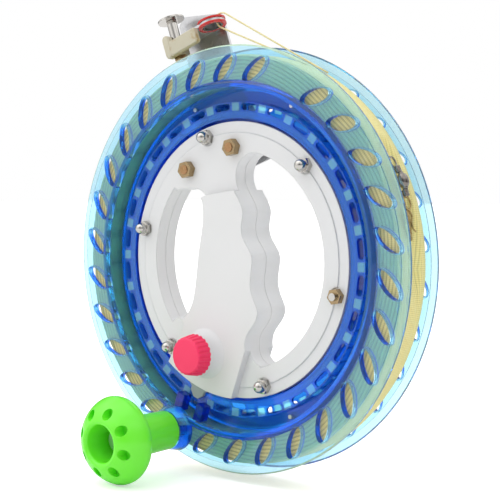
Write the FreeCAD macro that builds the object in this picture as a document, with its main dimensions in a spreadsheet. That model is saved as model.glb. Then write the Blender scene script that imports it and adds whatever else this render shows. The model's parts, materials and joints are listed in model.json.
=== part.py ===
import FreeCAD, Part
import math
import os
import Sketcher

# Hand reel for a flying line: a fixed white grip hub, a clear blue spool that turns round it
# on six small ball bearings, a crank knob, a spool lock and a line guide.
# +Y is the spool's axis and points to the back, +Z is up, and the origin is on the axis
# halfway through the spool's width, inside the grip bar.

Vector = FreeCAD.Vector
AXIS_Y = Vector(0, 1, 0)

# Driving sizes in millimetres, angles in degrees measured from +X towards +Z.
# A size given as a formula follows others, from the bolt ring outwards to the line guide.
SIZES = [
    # spool flanges and drum
    ("spool_width", 26.8), ("flange_depth", 19.5), ("flange_radius", "=drum_radius + flange_depth"),
    ("flange_thick", 2.5), ("rim_width", 4.5), ("rim_step", 0.5), ("rim_chamfer", 0.8),
    ("drum_wall", 2.0), ("lip_height", 1.8), ("parting_gap", 0.05), ("floor_thick", 1.8),
    ("floor_gap", 0.5), ("drum_room", 1.5), ("drum_radius", "=race_lip_radius + drum_room + drum_wall"),
    ("floor_inner", "=race_outer + floor_gap"),
    # leaf-shaped holes through the flanges
    ("leaf_step", 7.8), ("leaf_ring_radius", "=drum_radius + leaf_step"), ("leaf_length", 17.6),
    ("leaf_width", 7.4), ("leaf_lean", 45.0), ("leaf_pitch", 12.0), ("leaf_first", 80.0),
    ("leaf_count", 14),
    # bearing race between the flanges
    ("race_width", 14.8), ("race_gap", 1.5), ("race_web", 8.5), ("race_lip_width", 5.0),
    ("race_wall", 1.5), ("race_inner", "=hub_radius + race_gap"),
    ("race_outer", "=race_inner + race_web"), ("rail_width", 3.8), ("rail_clearance", 0.06),
    ("race_lip", 1.6), ("race_lip_radius", "=floor_inner + race_lip_width"), ("slot_step", 6.0),
    ("slot_ring_radius", "=race_inner + slot_step"), ("slot_length", 10.4), ("slot_width", 3.6),
    ("slot_count", 28),
    # lock gate, tongue and knob
    ("lock_angle", 250.7), ("gate_room", 0.8), ("gate_inner", "=tongue_tip + gate_room"),
    ("gate_gap", 9.6), ("gate_width", 5.0), ("gate_seat", 0.1),
    ("gate_rise", "=(spool_width - race_width) / 2 - gate_seat"),
    ("tongue_reach", 7.1), ("tongue_tip", "=hub_radius + tongue_reach"), ("tongue_width", 12.6),
    ("tongue_nose", 9.0), ("tongue_thick", 1.8), ("tongue_length", 36.0), ("lock_travel", 3.9),
    ("tongue_clearance", 0.12), ("lock_boss_radius", 10.2), ("lock_boss_foot", 13.2),
    ("lock_boss_height", 7.4), ("lock_knob_radius", 11.0), ("lock_knob_front", 9.7),
    ("lock_knob_length", 7.6), ("lock_knob_inset", 26.1),
    ("lock_knob_place", "=tongue_tip - lock_knob_inset"), ("lock_shaft_radius", 5.2),
    ("cam_pin_radius", 1.0), ("cam_pin_slack", 0.2), ("lock_screw_radius", 1.5), ("lock_flutes", 24),
    # grip hub
    ("hub_rim", 5.1), ("hub_radius", "=bolt_ring_radius + hub_rim"), ("hub_inset", 0.4),
    ("hub_width", "=race_width - hub_inset"),
    ("hub_skin", 2.4), ("hub_gap", 4.6), ("core_inset", 5.9),
    ("core_radius", "=bolt_ring_radius - core_inset"), ("grip_rise", 4.2),
    ("grip_width", "=hub_width + 2 * grip_rise"), ("window_rim", 3.5),
    ("window_radius", "=core_radius - window_rim"), ("window_wall", 2.2), ("hub_step_inset", 0.6),
    ("hub_step_radius", "=bolt_ring_radius - hub_step_inset"), ("hub_step_depth", 0.5),
    ("boss_radius", 5.0),
    # bearings on their bolts
    ("bolt_ring_radius", 66.4), ("bolt_ring_start", 47.1), ("bolt_radius", 1.95), ("bearing_bore", 2.0),
    ("bearing_radius", 4.0), ("bearing_split", 2.95), ("bearing_width", 3.0), ("bearing_running", 0.05),
    ("nut_across", 7.0), ("nut_height", 3.2), ("dome_radius", 3.1), ("bolt_head_across", 7.0),
    ("bolt_head_height", 2.8), ("nut_seat_clearance", 0.3),
    # line winding
    ("winding_depth", 6.0), ("winding_radius", "=flange_radius - winding_depth"), ("winding_gap", 0.3),
    # crank
    ("crank_angle", 248.0), ("crank_inset", 11.5), ("crank_place", "=flange_radius - crank_inset"),
    ("crank_boss_radius", 10.4), ("crank_boss_root", 12.0), ("crank_boss_length", 7.5),
    ("crank_neck_radius", 10.3), ("crank_neck_length", 30.0), ("crank_head_radius", 22.8),
    ("crank_head_length", 18.6), ("crank_bore_radius", 9.6), ("crank_bore_depth", 16.0),
    ("crank_axle_radius", 3.0), ("crank_running", 0.06), ("crank_play", 0.3),
    ("crank_hole_radius", 2.7), ("crank_hole_ring", 15.6), ("crank_hole_depth", 7.0),
    ("crank_hole_count", 8), ("crank_hole_start", 31.0),
    # line guide
    ("guide_angle", 110.0), ("guide_room", 2.6), ("guide_plate_place", "=spool_width / 2 + guide_room"),
    ("guide_plate_thick", 1.5), ("guide_reach", 17.2),
    ("guide_tab_height", "=flange_radius + guide_reach"), ("guide_hole_inset", 5.4),
    ("guide_hole_height", "=core_radius - guide_hole_inset"), ("guide_hole_left", -14.7),
    ("guide_hole_right", 18.6), ("guide_bolt_radius", 2.45), ("guide_nut_across", 8.0),
    ("guide_nut_height", 4.0), ("eyelet_side", 15.0), ("eyelet_inset", 8.4),
    ("eyelet_place", "=guide_plate_place - eyelet_inset"), ("eyelet_radius", 7.7), ("eyelet_neck", 6.0),
    ("eyelet_lining", 5.6), ("eyelet_bore", 4.6), ("eyelet_height", 3.6), ("roller_side", -9.4),
    ("roller_inset", 11.4), ("roller_place", "=guide_plate_place - roller_inset"),
    ("roller_radius", 2.8), ("roller_length", 11.0), ("roller_cap_radius", 7.3),
    ("roller_cap_thick", 1.0), ("guide_pin_radius", 1.6), ("block_height", 8.0),
    ("knuckle_radius", 2.3), ("knuckle_rise", 3.4), ("knuckle_drop", 9.6),
    # free line and swivel
    ("line_diameter", 0.9), ("swivel_angle", 22.7), ("swivel_place", -2.0), ("swivel_radius", 1.8),
    ("swivel_length", 7.6), ("swivel_wire", 0.45), ("swivel_eye", 2.0), ("swivel_running", 0.06),
    ("snap_length", 20.0), ("snap_loop", 2.0), ("snap_plate_length", 12.0), ("snap_plate_thick", 1.5),
]

doc = FreeCAD.newDocument("line_reel")
sheet = doc.addObject("Spreadsheet::Sheet", "sizes")
for row, (alias, value) in enumerate(SIZES, start=1):
    sheet.set("A%d" % row, alias)
    sheet.setAlias("B%d" % row, alias)
for row, (alias, value) in enumerate(SIZES, start=1):
    sheet.set("B%d" % row, str(value))
doc.recompute()

PARTS = []


def size(alias):
    """A driving size, read from the sheet."""
    return float(sheet.get(alias))


def cell(alias):
    """The expression that names a driving size."""
    return "sizes.%s" % alias


def polar(radius, angle, y=0.0):
    """The point at a radius and an angle round the spool's axis."""
    turn = math.radians(angle)
    return Vector(radius * math.cos(turn), y, radius * math.sin(turn))


def keep(item, name):
    """Lists an object as a sub-part under its name."""
    item.Label = name
    PARTS.append(item)
    return item


# ---------------------------------------------------------------- PartDesign helpers

def new_body(name):
    return doc.addObject("PartDesign::Body", name)


def origin_feature(body, role):
    return [feature for feature in body.Origin.OriginFeatures if feature.Role == role][0]


def new_sketch(body, name, role):
    sketch = body.newObject("Sketcher::SketchObject", name)
    sketch.AttachmentSupport = [(origin_feature(body, role), "")]
    sketch.MapMode = "FlatFace"
    return sketch


def drive(sketch, constraint, name, expression):
    """Adds a constraint whose value follows an expression."""
    index = sketch.addConstraint(constraint)
    sketch.renameConstraint(index, name)
    sketch.setExpression("Constraints.%s" % name, expression)


def closed_outline(sketch, corners):
    """A closed polygon whose corners (x, y) are expressions."""
    count = len(corners)
    start = [Vector(30 + 9 * math.cos(2 * math.pi * k / count), 9 * math.sin(2 * math.pi * k / count), 0)
             for k in range(count)]
    for k in range(count):
        sketch.addGeometry(Part.LineSegment(start[k], start[(k + 1) % count]), False)
    for k in range(count):
        sketch.addConstraint(Sketcher.Constraint("Coincident", k, 2, (k + 1) % count, 1))
    for k, (across, along) in enumerate(corners):
        drive(sketch, Sketcher.Constraint("DistanceX", -1, 1, k, 1, start[k].x), "across_%d" % k, across)
        drive(sketch, Sketcher.Constraint("DistanceY", -1, 1, k, 1, start[k].y), "along_%d" % k, along)


def turn_outline(body, corners):
    """Revolves a profile of (radius, y) expressions about the body's Y axis."""
    sketch = new_sketch(body, "profile", "XY_Plane")
    closed_outline(sketch, corners)
    turned = body.newObject("PartDesign::Revolution", "turned")
    turned.Profile = sketch
    turned.ReferenceAxis = (sketch, ["V_Axis"])
    turned.Angle = 360
    doc.recompute()
    return turned


def cut_through(body, sketch, name, depth):
    """A pocket through the body on both sides of the sketch plane."""
    pocket = body.newObject("PartDesign::Pocket", name)
    pocket.Profile = sketch
    pocket.Type = "Length"
    pocket.SideType = "Symmetric"
    pocket.setExpression("Length", depth)
    doc.recompute()
    return pocket


def polar_copies(body, feature, name, count, span):
    """Repeats a feature round the body's Y axis, towards smaller angles."""
    pattern = body.newObject("PartDesign::PolarPattern", name)
    pattern.Originals = [feature]
    pattern.Axis = (origin_feature(body, "Y_Axis"), [""])
    pattern.setExpression("Angle", span)
    pattern.setExpression("Occurrences", count)
    body.Tip = pattern
    doc.recompute()
    return pattern


# ---------------------------------------------------------------- Part helpers

def tube_y(outer, inner, start, end, centre=Vector(0, 0, 0)):
    """A ring or rod along Y from y=start to y=end."""
    base = Vector(centre.x, start, centre.z)
    solid = Part.makeCylinder(outer, end - start, base, AXIS_Y)
    if inner > 0:
        solid = solid.cut(Part.makeCylinder(inner, end - start, base, AXIS_Y))
    return solid


def hex_prism(across, base, axis, height, turn=0.0):
    """A hexagonal prism of the given size across flats."""
    corner = across / math.sqrt(3)
    points = [Vector(corner * math.cos(math.radians(60 * k + turn)),
                     corner * math.sin(math.radians(60 * k + turn)), 0) for k in range(7)]
    prism = Part.Face(Part.makePolygon(points)).extrude(Vector(0, 0, height))
    prism.Placement = FreeCAD.Placement(base, FreeCAD.Rotation(Vector(0, 0, 1), axis))
    return prism


def prism_y(wire, start, end):
    """A closed outline drawn in the plane y=0, extruded from y=start to y=end."""
    face = Part.Face(wire)
    face.translate(Vector(0, start, 0))
    return face.extrude(Vector(0, end - start, 0))


def placed(shapes):
    return shapes[0] if len(shapes) == 1 else Part.makeCompound(shapes)


def feature(name, *shapes):
    """A sub-part whose solids are made with Part's own functions."""
    item = doc.addObject("Part::Feature", name)
    item.Shape = placed(list(shapes))
    return keep(item, name)


def primitive_ring(name, outer, inner, start, end, place):
    """A ring along Y as a Part::Cut of two cylinders bound to the sheet."""
    rods = []
    for role, radius in (("outside", outer), ("inside", inner)):
        rod = doc.addObject("Part::Cylinder", "%s_%s" % (name, role))
        rod.setExpression("Radius", radius)
        rod.setExpression("Height", "(%s) - (%s)" % (end, start))
        rod.Placement = FreeCAD.Placement(Vector(0, 0, 0), FreeCAD.Rotation(Vector(1, 0, 0), -90))
        rod.setExpression("Placement.Base.x", place[0])
        rod.setExpression("Placement.Base.y", start)
        rod.setExpression("Placement.Base.z", place[1])
        rods.append(rod)
    ring = doc.addObject("Part::Cut", name)
    ring.Base, ring.Tool = rods
    return keep(ring, name)


# ---------------------------------------------------------------- spool

def leaf_holes(body, tag, first):
    """Half of the ring of leaning leaf-shaped holes."""
    sketch = new_sketch(body, "leaf_%s" % tag, "XZ_Plane")
    middle = polar(size("leaf_ring_radius"), first)
    across = Vector(middle.x, middle.z, 0)
    lean = math.radians(first - size("leaf_lean"))
    long_end = across + Vector(math.cos(lean), math.sin(lean), 0) * (size("leaf_length") / 2)
    short_end = across + Vector(-math.sin(lean), math.cos(lean), 0) * (size("leaf_width") / 2)
    sketch.addGeometry(Part.Ellipse(long_end, short_end, across), False)
    sketch.exposeInternalGeometry(0)
    at = "(%s + %s * %s)" % (cell("leaf_first"), tag_offset(tag), cell("leaf_pitch"))
    drive(sketch, Sketcher.Constraint("DistanceX", -1, 1, 0, 3, across.x), "middle_x",
          "%s * cos(%s * 1 deg)" % (cell("leaf_ring_radius"), at))
    drive(sketch, Sketcher.Constraint("DistanceY", -1, 1, 0, 3, across.y), "middle_z",
          "%s * sin(%s * 1 deg)" % (cell("leaf_ring_radius"), at))
    drive(sketch, Sketcher.Constraint("Distance", 1, size("leaf_length")), "long_axis", cell("leaf_length"))
    drive(sketch, Sketcher.Constraint("Distance", 2, size("leaf_width")), "short_axis", cell("leaf_width"))
    pocket = cut_through(body, sketch, "leaf_hole_%s" % tag, "2 * %s" % cell("spool_width"))
    polar_copies(body, pocket, "leaf_holes_%s" % tag, cell("leaf_count"),
                 "(%s - 1) * %s * 1 deg" % (cell("leaf_count"), cell("leaf_pitch")))


def tag_offset(tag):
    """Pitches from the first leaf hole to where each half of the ring starts."""
    return {"left": 13, "right": 28}[tag]


def spool_flange(name, side):
    """One clear flange with its half of the drum wall; side is -1 in front and 1 behind."""
    body = new_body(name)
    face = "%d * %s / 2" % (side, cell("spool_width"))
    inside = "%s - %d * %s" % (face, side, cell("flange_thick"))
    lip = "%s + %d * %s" % (face, side, cell("lip_height"))
    part = "%d * %s" % (side, cell("parting_gap"))
    floor = "%s + %d * (%s + %s / 2)" % (part, side, cell("floor_thick"), cell("race_lip"))
    floor_in = "%d * (%s + %s / 2)" % (side, cell("parting_gap"), cell("race_lip"))
    inner = "%s - %s" % (cell("drum_radius"), cell("drum_wall"))
    rim = "%s - %s" % (cell("flange_radius"), cell("rim_width"))
    edge = "%s - %s" % (cell("flange_radius"), cell("rim_chamfer"))
    stepped = "%s - %d * %s" % (face, side, cell("rim_step"))
    turn_outline(body, [
        (inner, lip), (cell("drum_radius"), lip), ("%s + %s" % (cell("drum_radius"), cell("lip_height")), face),
        (rim, face), (rim, stepped), (edge, stepped),
        (cell("flange_radius"), "%s - %d * %s" % (stepped, side, cell("rim_chamfer"))),
        (cell("flange_radius"), inside), (cell("drum_radius"), inside), (cell("drum_radius"), part),
        ("%s + 0.5" % cell("race_lip_radius"), part), ("%s + 0.5" % cell("race_lip_radius"), floor_in),
        (cell("floor_inner"), floor_in), (cell("floor_inner"), floor), (inner, floor)])
    for tag in ("left", "right"):
        leaf_holes(body, tag, size("leaf_first") + tag_offset(tag) * size("leaf_pitch"))
    return keep(body, name)


def crank_centre(y=0.0):
    return polar(size("crank_place"), size("crank_angle"), y)


def spool_front():
    """The front flange, with the boss that carries the crank axle."""
    plain = spool_flange("front_flange_disc", -1)
    PARTS.remove(plain)
    face = -size("spool_width") / 2
    centre = crank_centre(face)
    boss = Part.makeCone(size("crank_boss_root"), size("crank_boss_radius"), size("crank_boss_length"),
                         centre, Vector(0, -1, 0))
    bore_end = face + size("flange_thick")
    bore = tube_y(size("crank_axle_radius"), 0, face - size("crank_boss_length"), bore_end, centre)
    return feature("front_flange", plain.Shape.fuse(boss).cut(bore).cut(spool_screw_holes()).removeSplitter())


def spool_rear():
    plain = spool_flange("rear_flange_disc", 1)
    PARTS.remove(plain)
    return feature("rear_flange", plain.Shape.cut(spool_screw_holes()))


SPOOL_SCREWS = 8
SPOOL_SCREW_RADIUS = 1.1
SPOOL_SCREW_STEP = 2.8


def spool_screw_places():
    ring = size("floor_inner") + SPOOL_SCREW_STEP
    return [polar(ring, 22.5 + 360 / SPOOL_SCREWS * k) for k in range(SPOOL_SCREWS)]


def spool_screw_holes():
    reach = size("floor_thick") + size("race_lip")
    return Part.makeCompound([tube_y(SPOOL_SCREW_RADIUS, 0, -reach, reach, at) for at in spool_screw_places()])


def spool_screws():
    """Pan-head screws from behind that clamp both flanges over the race's lips."""
    rear = size("parting_gap") + size("floor_thick") + size("race_lip") / 2
    solids = []
    for at in spool_screw_places():
        shank = tube_y(SPOOL_SCREW_RADIUS, 0, -rear, rear, at)
        head = tube_y(2.0, 0, rear, rear + 1.4, at)
        slot = Part.makeBox(3.0, 0.6, 0.6, Vector(at.x - 1.5, rear + 0.9, at.z - 0.3))
        solids.append(shank.fuse(head).removeSplitter().cut(slot))
    return feature("spool_screws", *solids)


def race_half(name, side):
    """Half of the bearing race: a slotted web, an outer skirt and the rail the bearings run on."""
    body = new_body("%s_blank" % name)
    face = "%d * %s / 2" % (side, cell("race_width"))
    back = "%s - %d * %s" % (face, side, cell("race_wall"))
    part = "%d * %s" % (side, cell("parting_gap"))
    rail = "%d * %s / 2" % (side, cell("rail_width"))
    rail_radius = "%s + %s + %s" % (cell("bolt_ring_radius"), cell("bearing_radius"), cell("rail_clearance"))
    outer_in = "%s - %s" % (cell("race_outer"), cell("race_wall"))
    inner_out = "%s + %s" % (cell("race_inner"), cell("race_wall"))
    lip = "%d * %s / 2" % (side, cell("race_lip"))
    turn_outline(body, [
        (cell("race_inner"), face), (cell("race_outer"), face), (cell("race_outer"), lip),
        (cell("race_lip_radius"), lip), (cell("race_lip_radius"), part), (outer_in, part), (outer_in, back),
        (inner_out, back), (inner_out, part), (rail_radius, part), (rail_radius, rail),
        (cell("race_inner"), rail)])
    sketch = new_sketch(body, "slot", "XZ_Plane")
    pitch = 360.0 / size("slot_count")
    first = size("lock_angle") - pitch
    slot_outline(sketch, first)
    pocket = cut_through(body, sketch, "slot_cut", "2 * %s" % cell("race_width"))
    polar_copies(body, pocket, "slots", "%s - 1" % cell("slot_count"),
                 "(%s - 2) * 360 deg / %s" % (cell("slot_count"), cell("slot_count")))
    return feature(name, body.Shape.cut(spool_screw_holes()))


def slot_outline(sketch, angle):
    """A rounded slot that lies across the radius at an angle."""
    turn = math.radians(angle)
    out = Vector(math.cos(turn), math.sin(turn), 0)
    side = Vector(-out.y, out.x, 0)
    middle = out * size("slot_ring_radius")
    half = side * ((size("slot_length") - size("slot_width")) / 2)
    rise = out * (size("slot_width") / 2)
    sketch.addGeometry(Part.LineSegment(middle - half + rise, middle + half + rise), False)
    sketch.addGeometry(Part.Arc(middle + half + rise, middle + half + side * size("slot_width") / 2,
                                middle + half - rise), False)
    sketch.addGeometry(Part.LineSegment(middle + half - rise, middle - half - rise), False)
    sketch.addGeometry(Part.Arc(middle - half - rise, middle - half - side * size("slot_width") / 2,
                                middle - half + rise), False)


def lock_frame():
    """Unit vectors outwards and across, along and beside the lock's line."""
    outward = polar(1.0, size("lock_angle"))
    return outward, Vector(-outward.z, 0, outward.x)


def lock_box(near, far, left, right, start, end):
    """A box in the lock's own directions: outwards, across and along Y."""
    outward, across = lock_frame()
    corners = [outward * near + across * left, outward * far + across * left,
               outward * far + across * right, outward * near + across * right]
    corners.append(corners[0])
    return prism_y(Part.makePolygon(corners), start, end)


def gate_blocks():
    """Two blocks in the spool's front groove; the tongue enters between them."""
    front = -size("race_width") / 2 - size("gate_rise")
    seat = -size("race_width") / 2
    wall = size("drum_radius") - size("drum_wall") - size("gate_seat")
    inside = tube_y(wall, 0, front, seat + 5)
    solids = []
    for side in (-1, 1):
        near = side * size("gate_gap") / 2
        far = side * (size("gate_gap") / 2 + size("gate_width"))
        block = lock_box(size("gate_inner"), wall + 3, min(near, far), max(near, far), front, seat)
        solids.append(block.common(inside))
    return feature("gate_blocks", *solids)


def line_winding():
    """The wound line as one closed ring between the flanges."""
    gap = size("winding_gap")
    half = size("spool_width") / 2 - size("flange_thick") - gap
    return feature("line_winding", tube_y(size("winding_radius"), size("drum_radius") + gap, -half, half))


# ---------------------------------------------------------------- crank

def crank_levels():
    """Where along Y the knob starts, its head starts, its bore floor lies and its face is."""
    root = -size("spool_width") / 2 - size("crank_boss_length")
    near = root - size("crank_play") / 2
    head = near - size("crank_neck_length")
    face = head - size("crank_head_length")
    floor = face + size("crank_bore_depth")
    return root, near, head, floor, face


def crank_knob():
    """Mushroom knob with a deep mouth and eight round dimples."""
    root, near, head, floor, face = crank_levels()
    radius = size("crank_head_radius")
    mouth = size("crank_bore_radius")
    neck = size("crank_neck_radius")
    axle = size("crank_axle_radius") + size("crank_running")
    widest = head - 5.0
    outline = [
        Part.LineSegment(Vector(axle, near, 0), Vector(neck - 0.6, near, 0)),
        Part.LineSegment(Vector(neck - 0.6, near, 0), Vector(neck, near - 0.6, 0)),
        Part.LineSegment(Vector(neck, near - 0.6, 0), Vector(neck + 0.5, head + 1.0, 0)),
        Part.LineSegment(Vector(neck + 0.5, head + 1.0, 0), Vector(neck + 4.0, head, 0)),
        Part.LineSegment(Vector(neck + 4.0, head, 0), Vector(radius - 0.8, widest + 2.2, 0)),
        Part.Arc(Vector(radius - 0.8, widest + 2.2, 0), Vector(radius, widest, 0),
                 Vector(radius - 0.3, widest - 2.4, 0)),
        Part.Arc(Vector(radius - 0.3, widest - 2.4, 0), Vector(radius * 0.80, face + 4.4, 0),
                 Vector(mouth + 2.2, face, 0)),
        Part.Arc(Vector(mouth + 2.2, face, 0), Vector(mouth + 0.6, face + 0.5, 0),
                 Vector(mouth, face + 2.0, 0)),
        Part.LineSegment(Vector(mouth, face + 2.0, 0), Vector(mouth - 0.6, floor, 0)),
        Part.LineSegment(Vector(mouth - 0.6, floor, 0), Vector(axle, floor, 0)),
        Part.LineSegment(Vector(axle, floor, 0), Vector(axle, near, 0)),
    ]
    wire = Part.Wire([edge.toShape() for edge in outline])
    solid = Part.Face(wire).revolve(Vector(0, 0, 0), AXIS_Y, 360)
    for k in range(int(size("crank_hole_count"))):
        at = polar(size("crank_hole_ring"), size("crank_hole_start") + 360.0 / size("crank_hole_count") * k)
        solid = solid.cut(tube_y(size("crank_hole_radius"), 0, face - 1, face + size("crank_hole_depth"), at))
    solid.translate(crank_centre())
    return feature("crank_knob", solid)


def crank_axle():
    """Shouldered screw that holds the knob to the boss."""
    root, near, head, floor, face = crank_levels()
    centre = crank_centre()
    end = -size("spool_width") / 2 + size("flange_thick") - 0.2
    washer = floor - size("crank_play") / 2 - 1.2
    shank = tube_y(size("crank_axle_radius"), 0, washer - 2.6, end, centre)
    cap = tube_y(5.6, 0, washer - 2.6, washer, centre)
    socket = hex_prism(4.0, Vector(centre.x, washer - 2.6, centre.z), AXIS_Y, 1.6)
    return feature("crank_axle", shank.fuse(cap).removeSplitter().cut(socket))


def crank_washer():
    root, near, head, floor, face = crank_levels()
    start = floor - size("crank_play") / 2 - 1.2
    return feature("crank_washer", tube_y(7.6, size("crank_axle_radius") + 0.02, start, start + 1.2, crank_centre()))


# ---------------------------------------------------------------- hub outlines

FINGER_EDGE = [
    # seats and ridges of the finger side, from the top of the window to its foot
    (14.0, 54.9), (5.0, 53.0), (0.5, 46.5), (0.6, 40.0), (5.2, 32.0), (8.4, 25.0), (7.4, 18.0), (9.0, 11.0),
    (14.2, 3.0), (14.0, -5.0), (13.3, -11.5), (16.0, -20.0), (18.2, -25.5), (16.0, -31.5), (10.6, -39.0),
    (10.2, -47.0), (16.5, -53.6),
]
PALM_EDGE = [
    # straight side of the grip bar towards the palm window, from its top to its foot
    (-41.5, 36.0), (-31.0, 37.0), (-21.6, 34.2), (-19.2, 28.0), (-21.6, 5.0), (-24.4, -15.0), (-28.0, -26.5),
    (-34.0, -32.6), (-41.0, -32.4),
]


def spline_edge(points):
    curve = Part.BSplineCurve()
    curve.interpolate([Vector(x, 0, z) for x, z in points])
    return curve.toShape()


def moved_edge(points, distance):
    """The points of an edge moved sideways, to the left of its run where the distance is positive."""
    result = []
    for k, (x, z) in enumerate(points):
        before, after = points[max(k - 1, 0)], points[min(k + 1, len(points) - 1)]
        run = Vector(after[0] - before[0], 0, after[1] - before[1]).normalize()
        result.append((x - run.z * distance, z + run.x * distance))
    return result


def window_wire(points, radius):
    """A hand window: a curved side towards the grip and a round side along the rim."""
    first = Vector(points[0][0], 0, points[0][1])
    last = Vector(points[-1][0], 0, points[-1][1])
    top, foot = pull_to(first, radius), pull_to(last, radius)
    rim = Part.Arc(top, pull_to(first + last, radius), foot).toShape()
    sides = [Part.LineSegment(first, top).toShape(), Part.LineSegment(last, foot).toShape()]
    return Part.Wire(Part.__sortEdges__([spline_edge(points), rim] + sides))


def pull_to(point, radius):
    """The point moved along its own radius to the given distance from the axis."""
    return point * (radius / point.Length)


def grip_wire(margin=0.0):
    """The raised bar and palm rest, running down to the hub's rim round the lock."""
    rim = size("hub_radius") - margin
    right = polar(rim, 270.5)
    left = polar(rim, 232.0)
    top = [Vector(-16.5 + margin, 0, 33.6 - margin), Vector(4.0 - margin, 0, 36.4 - margin)]
    bar_right = [Vector(30.0 - margin, 0, 20.0), Vector(30.0 - margin, 0, -24.0), Vector(19.0 - margin, 0, -28.0),
                 Vector(13.3 - margin, 0, -37.3), Vector(7.3 - margin, 0, -53.3), right - Vector(margin, 0, 0)]
    bar_left = [left + Vector(margin, 0, 0), Vector(-33.0 + margin, 0, -36.0 + margin),
                Vector(-40.0 + margin, 0, -20.0), Vector(-36.0 + margin, 0, 26.0)]
    points = [top[0], top[1]] + bar_right
    edges = [Part.LineSegment(a, b).toShape() for a, b in zip(points, points[1:])]
    edges.append(Part.Arc(points[-1], polar(rim, 251.0), bar_left[0]).toShape())
    points = bar_left + [top[0]]
    edges += [Part.LineSegment(a, b).toShape() for a, b in zip(points, points[1:])]
    return Part.Wire(Part.__sortEdges__(edges))


def windows(start, end, margin=0.0):
    """Both hand windows as cutters, grown by a margin for the walls round them."""
    solids = []
    for points, away in ((FINGER_EDGE, -1), (PALM_EDGE, 1)):
        edge = moved_edge(points, away * margin) if margin else points
        solids.append(prism_y(window_wire(edge, size("window_radius") + margin), start, end))
    return Part.makeCompound(solids)


def bolt_places():
    return [polar(size("bolt_ring_radius"), size("bolt_ring_start") + 60 * k) for k in range(6)]


def guide_frame():
    """Unit vectors of the guide arm: outwards along the arm and across to its right."""
    outward = polar(1.0, size("guide_angle"))
    return outward, Vector(outward.z, 0, -outward.x)


def guide_point(side, height, y=0.0):
    outward, across = guide_frame()
    return outward * height + across * side + Vector(0, y, 0)


def guide_bolt_places():
    return [guide_point(size(alias), size("guide_hole_height")) for alias in ("guide_hole_left", "guide_hole_right")]


def hub_half(side):
    """One moulded half of the hub; side is -1 in front and 1 behind."""
    outer = size("hub_width") / 2
    inner = size("hub_gap") / 2
    raised = size("grip_width") / 2
    skin = size("hub_skin")
    joint = size("parting_gap")
    disc = tube_y(size("hub_radius"), 0, inner, outer)
    core = tube_y(size("core_radius"), 0, joint, inner)
    bar = prism_y(grip_wire(), outer, raised)
    bar = bar.cut(windows(outer - 1, raised + 1))
    shell = disc.fuse([core, bar])
    step = tube_y(size("hub_radius") + 1, size("hub_step_radius"), outer - size("hub_step_depth"), outer)
    shell = shell.cut(step.cut(prism_y(grip_wire(), outer - 1, outer + 1)))
    hollow = tube_y(size("core_radius") - skin, 0, joint, outer - skin)
    bosses = [tube_y(size("boss_radius") + 1, 0, joint, outer, at) for at in guide_bolt_places()]
    hollow = hollow.cut(windows(joint - 1, outer, size("window_wall"))).cut(Part.makeCompound(bosses))
    bar_hollow = prism_y(grip_wire(skin), outer - skin - 0.5, raised - skin)
    bar_hollow = bar_hollow.cut(windows(outer - skin - 1, raised, size("window_wall")))
    bar_hollow = bar_hollow.common(Part.makeBox(90, raised, 76, Vector(-45, 0, -38)))
    shell = shell.cut(windows(-1, raised + 1)).cut(hollow).cut(bar_hollow)
    seat = max(size("nut_across"), size("bolt_head_across")) / math.sqrt(3) + size("nut_seat_clearance")
    for at in bolt_places():
        shell = shell.cut(tube_y(size("bolt_radius") + 0.05, 0, -1, raised + 1, at))
        shell = shell.cut(tube_y(seat, 0, outer - size("hub_step_depth"), raised + 1, at))
    for at in guide_bolt_places():
        shell = shell.cut(tube_y(size("guide_bolt_radius") + 0.05, 0, -1, raised + 1, at))
    if side < 0:
        shell = shell.mirror(Vector(0, 0, 0), AXIS_Y)
    return shell


# ---------------------------------------------------------------- lock

def tongue_levels():
    back = -size("race_width") / 2 - 0.5
    return back - size("tongue_thick"), back


def lock_centre(y=0.0):
    return polar(size("lock_knob_place"), size("lock_angle"), y)


def cam_offset():
    """Distance of the cam pin from the knob's axis that gives the tongue its travel."""
    return size("lock_travel") / math.sqrt(2)


def lock_boss():
    """Flared collar on the grip that the lock knob turns on."""
    foot, top = size("lock_boss_foot"), size("lock_boss_radius")
    face = -size("grip_width") / 2
    height = size("lock_boss_height")
    flare = Part.Arc(Vector(foot, face, 0), Vector(top + (foot - top) * 0.3, face - height * 0.35, 0),
                     Vector(top, face - height, 0))
    outline = [flare.toShape(),
               Part.LineSegment(Vector(top, face - height, 0), Vector(0, face - height, 0)).toShape(),
               Part.LineSegment(Vector(0, face - height, 0), Vector(0, face + 1, 0)).toShape(),
               Part.LineSegment(Vector(0, face + 1, 0), Vector(foot, face + 1, 0)).toShape(),
               Part.LineSegment(Vector(foot, face + 1, 0), Vector(foot, face, 0)).toShape()]
    boss = Part.Face(Part.Wire(outline)).revolve(Vector(0, 0, 0), AXIS_Y, 360)
    boss.translate(lock_centre())
    return boss


def lock_levels():
    """Where along Y the lock knob's base and its face lie."""
    base = -size("grip_width") / 2 - size("lock_boss_height") - 0.2
    return base, base - size("lock_knob_length")


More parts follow.
